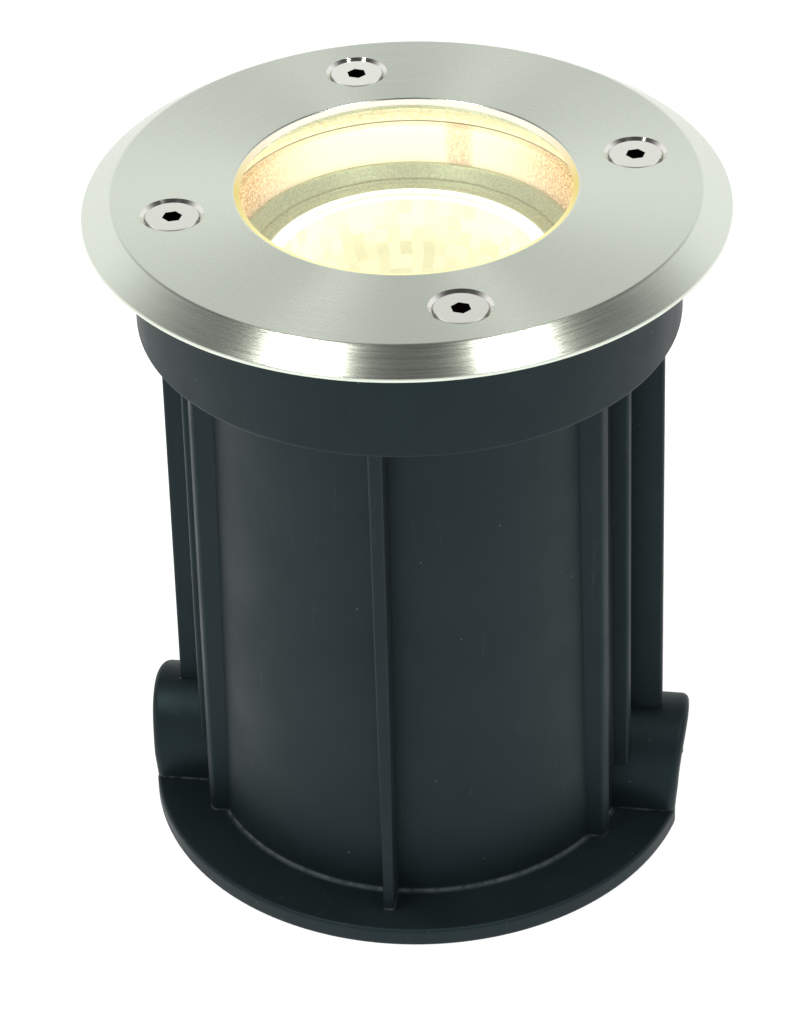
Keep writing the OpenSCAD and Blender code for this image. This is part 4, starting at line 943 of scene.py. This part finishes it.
steel_bezel = revolve("steel_bezel", BEZEL_OUTLINE, [bezel_steel], 256)
places = {}
tools = []
for name in SCREWS:
    low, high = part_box(name)
    places[name] = ((low.x + high.x) / 2, (low.y + high.y) / 2)
    tools.append(revolve("countersink", TOOL_OUTLINE, [countersink_steel], 64, places[name]))
cut(steel_bezel, *tools)
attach(steel_bezel, BODY_OF["bezel"])
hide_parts("bezel")
print("bezel:", len(steel_bezel.data.polygons), "faces,", len(steel_bezel.data.materials), "materials")

# %% [markdown]
# ## Gasket lip
#
# Inside the opening a narrow pale line runs all the way round: the clear silicone under the bezel
# is squeezed out a little, and the lamp's light on it is painted as a glow, white at the back, gold at
# the sides and pale yellow in front, by the side that faces the camera. It is a ring of its own,
# because nothing of it shows in the CAD gasket, which stays behind the steel.

# %% Gasket lip
LIP_OUTLINE = ((28.1, 126.25, 0.1), (28.1, 126.6, 0.15), (28.9, 126.85, 0.1), (29.1, 126.85, 0),
    (29.1, 126.25, 0))

lit_lip, tree = new_material("lit gasket lip")
outwards = from_axis(tree, add(tree, "ShaderNodeTexCoord").outputs["Object"])[1]
# Painted light: the glow's colour follows how far each side of the ring faces the camera.
facing = add(tree, "ShaderNodeVectorMath", {0: outwards, 1: tuple(ahead)},
    operation="DOT_PRODUCT").outputs["Value"]
back = add(tree, "ShaderNodeMapRange", {"Value": facing, "From Min": 0.0, "From Max": 0.7})
front = add(tree, "ShaderNodeMapRange", {"Value": facing, "From Min": -0.1, "From Max": -0.8})
low = add(tree, "ShaderNodeMix", {0: front, 6: linear("#dcc46a"), 7: linear("#f4f2ae")},
    data_type="RGBA")
tone = add(tree, "ShaderNodeMix", {0: back, 6: low.outputs[2], 7: linear("#fff6ee")},
    data_type="RGBA")
shader = add(tree, "ShaderNodeBsdfPrincipled", {"Base Color": linear("#6e6a50"), "Roughness": 0.4,
    "Emission Color": tone.outputs[2], "Emission Strength": 0.9})
add(tree, "ShaderNodeOutputMaterial", {"Surface": shader})
lip = revolve("gasket_lip", LIP_OUTLINE, [lit_lip])
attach(lip, BODY_OF["glass_gasket"])
print("lip:", len(lip.data.polygons), "faces")

# %% [markdown]
# ## Countersunk screws
#
# A screw is a cylinder whose radius follows a rule of height: the head's cone, a short land, a
# broken edge, and below the head a thread that climbs one pitch each turn. The hexagon socket
# is cut with a boolean, and its faces are found again by their place to give them a dark finish,
# painted shade for the inside of a deep hole. All four are the same tree with another place.

# %% Screw blank and thread
TOP = 126.7
LENGTH = 15.2
HEAD_R = 4.6
SHANK_R = 2.5
LAND = 0.4
NECK = LAND + HEAD_R - SHANK_R
THREAD_FROM = NECK + 0.6
PITCH_MM = 0.8
THREAD_CUT = 0.8 * MM
EDGE_TALL = 0.2 * MM
EDGE_BACK = 0.15 * MM
SCREW_SIDES = 48
SCREW_LEVELS = 152

tree, given = node_tree("countersunk screw", Place=(0.0, 0.0, 0.0), Turn=0.0)
blank = add(tree, "GeometryNodeMeshCylinder", {"Vertices": SCREW_SIDES, "Side Segments": SCREW_LEVELS,
    "Radius": HEAD_R * MM, "Depth": LENGTH * MM}, fill_type="NGON")
position = add(tree, "GeometryNodeInputPosition")
at = add(tree, "ShaderNodeSeparateXYZ", {"Vector": position}).outputs
from_top = add(tree, "ShaderNodeMath", {0: LENGTH / 2 * MM, 1: at["Z"]}, operation="SUBTRACT")
cone = add(tree, "ShaderNodeMapRange", {"Value": from_top, "From Min": LAND * MM,
    "From Max": NECK * MM, "To Min": HEAD_R * MM, "To Max": SHANK_R * MM})
edge = add(tree, "ShaderNodeMapRange", {"Value": from_top, "From Max": EDGE_TALL,
    "To Min": EDGE_BACK, "To Max": 0.0})
angle = add(tree, "ShaderNodeMath", {0: at["Y"], 1: at["X"]}, operation="ARCTAN2")
turns_down = add(tree, "ShaderNodeMath", {0: from_top, 1: PITCH_MM * MM}, operation="DIVIDE")
turns_round = add(tree, "ShaderNodeMath", {0: angle, 1: math.tau}, operation="DIVIDE")
climb = add(tree, "ShaderNodeMath", {0: turns_down, 1: turns_round}, operation="SUBTRACT")
groove = add(tree, "ShaderNodeMath", {0: climb, 1: 0.5}, operation="PINGPONG")
threaded = add(tree, "ShaderNodeMath", {0: from_top, 1: THREAD_FROM * MM}, operation="GREATER_THAN")
grooved = add(tree, "ShaderNodeMath", {0: groove, 1: threaded}, operation="MULTIPLY")
cut_in = add(tree, "ShaderNodeMath", {0: grooved, 1: THREAD_CUT}, operation="MULTIPLY")
eased = add(tree, "ShaderNodeMath", {0: cone, 1: edge}, operation="SUBTRACT")
radius = add(tree, "ShaderNodeMath", {0: eased, 1: cut_in}, operation="SUBTRACT")
outwards = from_axis(tree, position)[1]
around = add(tree, "ShaderNodeVectorMath", {0: outwards, "Scale": radius}, operation="SCALE")
level = add(tree, "ShaderNodeCombineXYZ", {"Z": at["Z"]})
spot = add(tree, "ShaderNodeVectorMath", {0: around, 1: level})
turned = add(tree, "GeometryNodeSetPosition", {"Geometry": blank, "Position": spot})
print("screw blank:", len(tree.nodes), "nodes")

# %% Screw socket and places
SOCKET_AF = 3.0
SOCKET_DEPTH = 2.2
SOCKET_REACH = 0.75 * SHANK_R
SCREW_EDGE_ANGLE = 30

hexagon = add(tree, "GeometryNodeMeshCylinder", {"Vertices": 6, "Radius": SOCKET_AF / math.sqrt(3) * MM,
    "Depth": 2 * SOCKET_DEPTH * MM}, fill_type="NGON")
key_hole = add(tree, "GeometryNodeTransform", {"Geometry": hexagon,
    "Translation": (0, 0, LENGTH / 2 * MM)})
socketed = add(tree, "GeometryNodeMeshBoolean", {"Mesh 1": turned, "Mesh 2": key_hole},
    operation="DIFFERENCE", solver="EXACT")
turn = add(tree, "ShaderNodeCombineXYZ", {"Z": given["Turn"]})
moved = add(tree, "GeometryNodeTransform", {"Geometry": socketed, "Translation": given["Place"],
    "Rotation": turn})
real = add(tree, "GeometryNodeRealizeInstances", {"Geometry": moved})
bright = add(tree, "GeometryNodeSetMaterial", {"Geometry": real, "Material": screw_steel})
here = add(tree, "ShaderNodeVectorMath", {0: position, 1: given["Place"]}, operation="SUBTRACT")
flat = add(tree, "ShaderNodeVectorMath", {0: here, 1: (1, 1, 0)}, operation="MULTIPLY")
from_middle = add(tree, "ShaderNodeVectorMath", {0: flat}, operation="LENGTH").outputs["Value"]
over = add(tree, "ShaderNodeSeparateXYZ", {"Vector": here}).outputs["Z"]
narrow = add(tree, "ShaderNodeMath", {0: from_middle, 1: SOCKET_REACH * MM}, operation="LESS_THAN")
sunk = add(tree, "ShaderNodeMath", {0: over, 1: (LENGTH / 2 - 0.05) * MM}, operation="LESS_THAN")
above_middle = add(tree, "ShaderNodeMath", {0: over, 1: 0.0}, operation="GREATER_THAN")
in_column = add(tree, "ShaderNodeMath", {0: narrow, 1: sunk}, operation="MULTIPLY")
inside = add(tree, "ShaderNodeMath", {0: in_column, 1: above_middle}, operation="MULTIPLY")
# The socket's faces take the dark finish of painted shade.
dark = add(tree, "GeometryNodeSetMaterial", {"Geometry": bright, "Selection": inside,
    "Material": socket_shade_steel})
add(tree, "NodeGroupOutput", {0: dark})

for name in SCREWS:
    x, y = places[name]
    mesh = grown(tree, Place=(x, y, (TOP - LENGTH / 2) * MM), Turn=math.atan2(y, x))
    screw = finished("steel_" + name, mesh, [], SCREW_EDGE_ANGLE)
    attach(screw, BODY_OF[name])
    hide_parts(name)
print("screws:", len(SCREWS), "of", len(mesh.polygons), "faces")

# %% [markdown]
# ## Lamp ring
#
# A spun ring closes the gap between the lamp and the casting. Spinning leaves a small bead where
# the tool turns back, and the bead catches a thin line of light.

# %% Lamp ring
RING_OUTLINE = ((29.8, 106, 0.1), (29.8, 110.5, 0.3), (29.0, 110.5, 0.3), (27.2, 108.63, 0.15),
    (27.2, 108.23, 0.1), (26.8, 108.11, 0.1), (26.55, 108.45, 0.12), (26.25, 107.95, 0.1),
    (25.4, 107.7, 0.2), (25.4, 106.9, 0.2), (27.2, 107.43, 0.2), (29.0, 109.3, 0.2), (29.0, 106, 0.1))

# The ring's finish carries painted lamp light.
spun_ring = revolve("spun_ring", RING_OUTLINE, [lit_ring])
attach(spun_ring, BODY_OF["lamp_ring"])
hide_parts("lamp_ring")
print("ring:", len(spun_ring.data.polygons), "faces")

# %% [markdown]
# ## The lit reflector
#
# The lamp's reflector is pressed glass with a faceted mirror coat. Each facet throws back a
# different part of the filament, so some glow white and some stay cream, and the rows near the
# rim and the capsule glare most. The bowl is a cylinder bent by the parabola's rule, every second
# ring turned a little against the last. Every facet carries its own random number for the finish.

# %% Mirror finish
mirror_coat, tree = new_material("lit faceted mirror")
place = add(tree, "ShaderNodeTexCoord").outputs["Object"]
facet = add(tree, "ShaderNodeAttribute", attribute_name="facet").outputs["Fac"]
height = add(tree, "ShaderNodeSeparateXYZ", {"Vector": place}).outputs["Z"]
near_top = add(tree, "ShaderNodeMapRange", {"Value": height, "From Min": 96 * MM,
    "From Max": 103 * MM, "To Max": 0.55})
near_base = add(tree, "ShaderNodeMapRange", {"Value": height, "From Min": 84 * MM,
    "From Max": 79 * MM, "To Max": 0.6})
glare = add(tree, "ShaderNodeMath", {0: near_top, 1: near_base}, operation="MAXIMUM")
own = add(tree, "ShaderNodeMapRange", {"Value": facet, "To Min": 0.0, "To Max": 0.6})
shine = add(tree, "ShaderNodeMath", {0: glare, 1: own}, operation="ADD", use_clamp=True)
tone = add(tree, "ShaderNodeMix", {0: shine, 6: linear("#e4dcb0"), 7: linear("#fffdf2")},
    data_type="RGBA")
level = add(tree, "ShaderNodeMapRange", {"Value": shine, "To Min": 0.78, "To Max": 1.02})
shader = add(tree, "ShaderNodeBsdfPrincipled", {"Base Color": linear("#b8b090"), "Metallic": 1.0,
    "Roughness": 0.35, "Emission Color": tone.outputs[2], "Emission Strength": level})
add(tree, "ShaderNodeOutputMaterial", {"Surface": shader})
print("made:", mirror_coat.name)

# %% Faceted mirror
SIDES = 60
RINGS = 14
STAGGER = 0.3 * math.pi / SIDES
CROWDING = 1.16
DICE_SEED = 3
low_r, top_r, low_z, top_z = (v * MM for v in (5.0, 22.9, 78.6, 106.0))

tree, given = node_tree("facet bowl", Seed=DICE_SEED)
sleeve = add(tree, "GeometryNodeMeshCylinder", {"Vertices": SIDES, "Side Segments": RINGS,
    "Radius": 1.0, "Depth": 1.0}, fill_type="NONE")
position = add(tree, "GeometryNodeInputPosition")
at = add(tree, "ShaderNodeSeparateXYZ", {"Vector": position}).outputs
up_share = add(tree, "ShaderNodeMath", {0: at["Z"], 1: 0.5}, operation="ADD")
not_below = add(tree, "ShaderNodeMath", {0: up_share, 1: 0.0}, operation="MAXIMUM")
share = add(tree, "ShaderNodeMath", {0: not_below, 1: CROWDING}, operation="POWER")
radius_square = add(tree, "ShaderNodeMath", {0: share, 1: top_r ** 2 - low_r ** 2, 2: low_r ** 2},
    operation="MULTIPLY_ADD")
radius = add(tree, "ShaderNodeMath", {0: radius_square}, operation="SQRT")
row_place = add(tree, "ShaderNodeMath", {0: up_share, 1: RINGS}, operation="MULTIPLY")
row_number = add(tree, "ShaderNodeMath", {0: row_place}, operation="ROUND")
odd = add(tree, "ShaderNodeMath", {0: row_number, 1: 2}, operation="MODULO")
part_turn = add(tree, "ShaderNodeMath", {0: odd, 1: STAGGER}, operation="MULTIPLY")
own_angle = add(tree, "ShaderNodeMath", {0: at["Y"], 1: at["X"]}, operation="ARCTAN2")
angle = add(tree, "ShaderNodeMath", {0: own_angle, 1: part_turn}, operation="ADD")
cosine = add(tree, "ShaderNodeMath", {0: angle}, operation="COSINE")
sine = add(tree, "ShaderNodeMath", {0: angle}, operation="SINE")
new_x = add(tree, "ShaderNodeMath", {0: radius, 1: cosine}, operation="MULTIPLY")
new_y = add(tree, "ShaderNodeMath", {0: radius, 1: sine}, operation="MULTIPLY")
new_z = add(tree, "ShaderNodeMath", {0: share, 1: top_z - low_z, 2: low_z}, operation="MULTIPLY_ADD")
spot = add(tree, "ShaderNodeCombineXYZ", {"X": new_x, "Y": new_y, "Z": new_z})
bowl = add(tree, "GeometryNodeSetPosition", {"Geometry": sleeve, "Position": spot})
facing_in = add(tree, "GeometryNodeFlipFaces", {"Mesh": bowl})
number = add(tree, "GeometryNodeInputIndex")
dice = add(tree, "FunctionNodeRandomValue", {"ID": number, "Seed": given["Seed"]}, data_type="FLOAT")
marked = add(tree, "GeometryNodeStoreNamedAttribute", {"Geometry": facing_in, "Name": "facet",
    "Value": dice.outputs[1]}, data_type="FLOAT", domain="FACE")
end_tree(tree, marked, mirror_coat)

mesh = grown(tree, Seed=DICE_SEED)
facets = bpy.data.objects.new("mirror_facets", mesh)
scene.collection.objects.link(facets)
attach(facets, BODY_OF["lamp_reflector"])
print("facets:", len(mesh.polygons))

# %% [markdown]
# ## Light from the lamp
#
# The filament's light leaves the bowl upwards. A round lamp just above the front glass stands for
# it, since light that has to find its way out through a glass would only make noise.

# %% Light from the lamp
LIGHT_ACROSS = 36 * MM
LIGHT_Z = 108.4 * MM
LIGHT_WATTS = 0.012

light = bpy.data.lights.new("lamp_light", "AREA")
light.shape = "DISK"
light.size = LIGHT_ACROSS
light.energy = LIGHT_WATTS
light.color = linear("#ffe9cc")[:3]
lamp_light = bpy.data.objects.new("lamp_light", light)
scene.collection.objects.link(lamp_light)
lamp_light.matrix_world = Matrix.Translation(up * LIGHT_Z) @ Matrix.Rotation(math.pi, 4, "X")
lamp_light.visible_camera = False
lamp_light.visible_transmission = False
print("lamp light:", light.energy, "W")
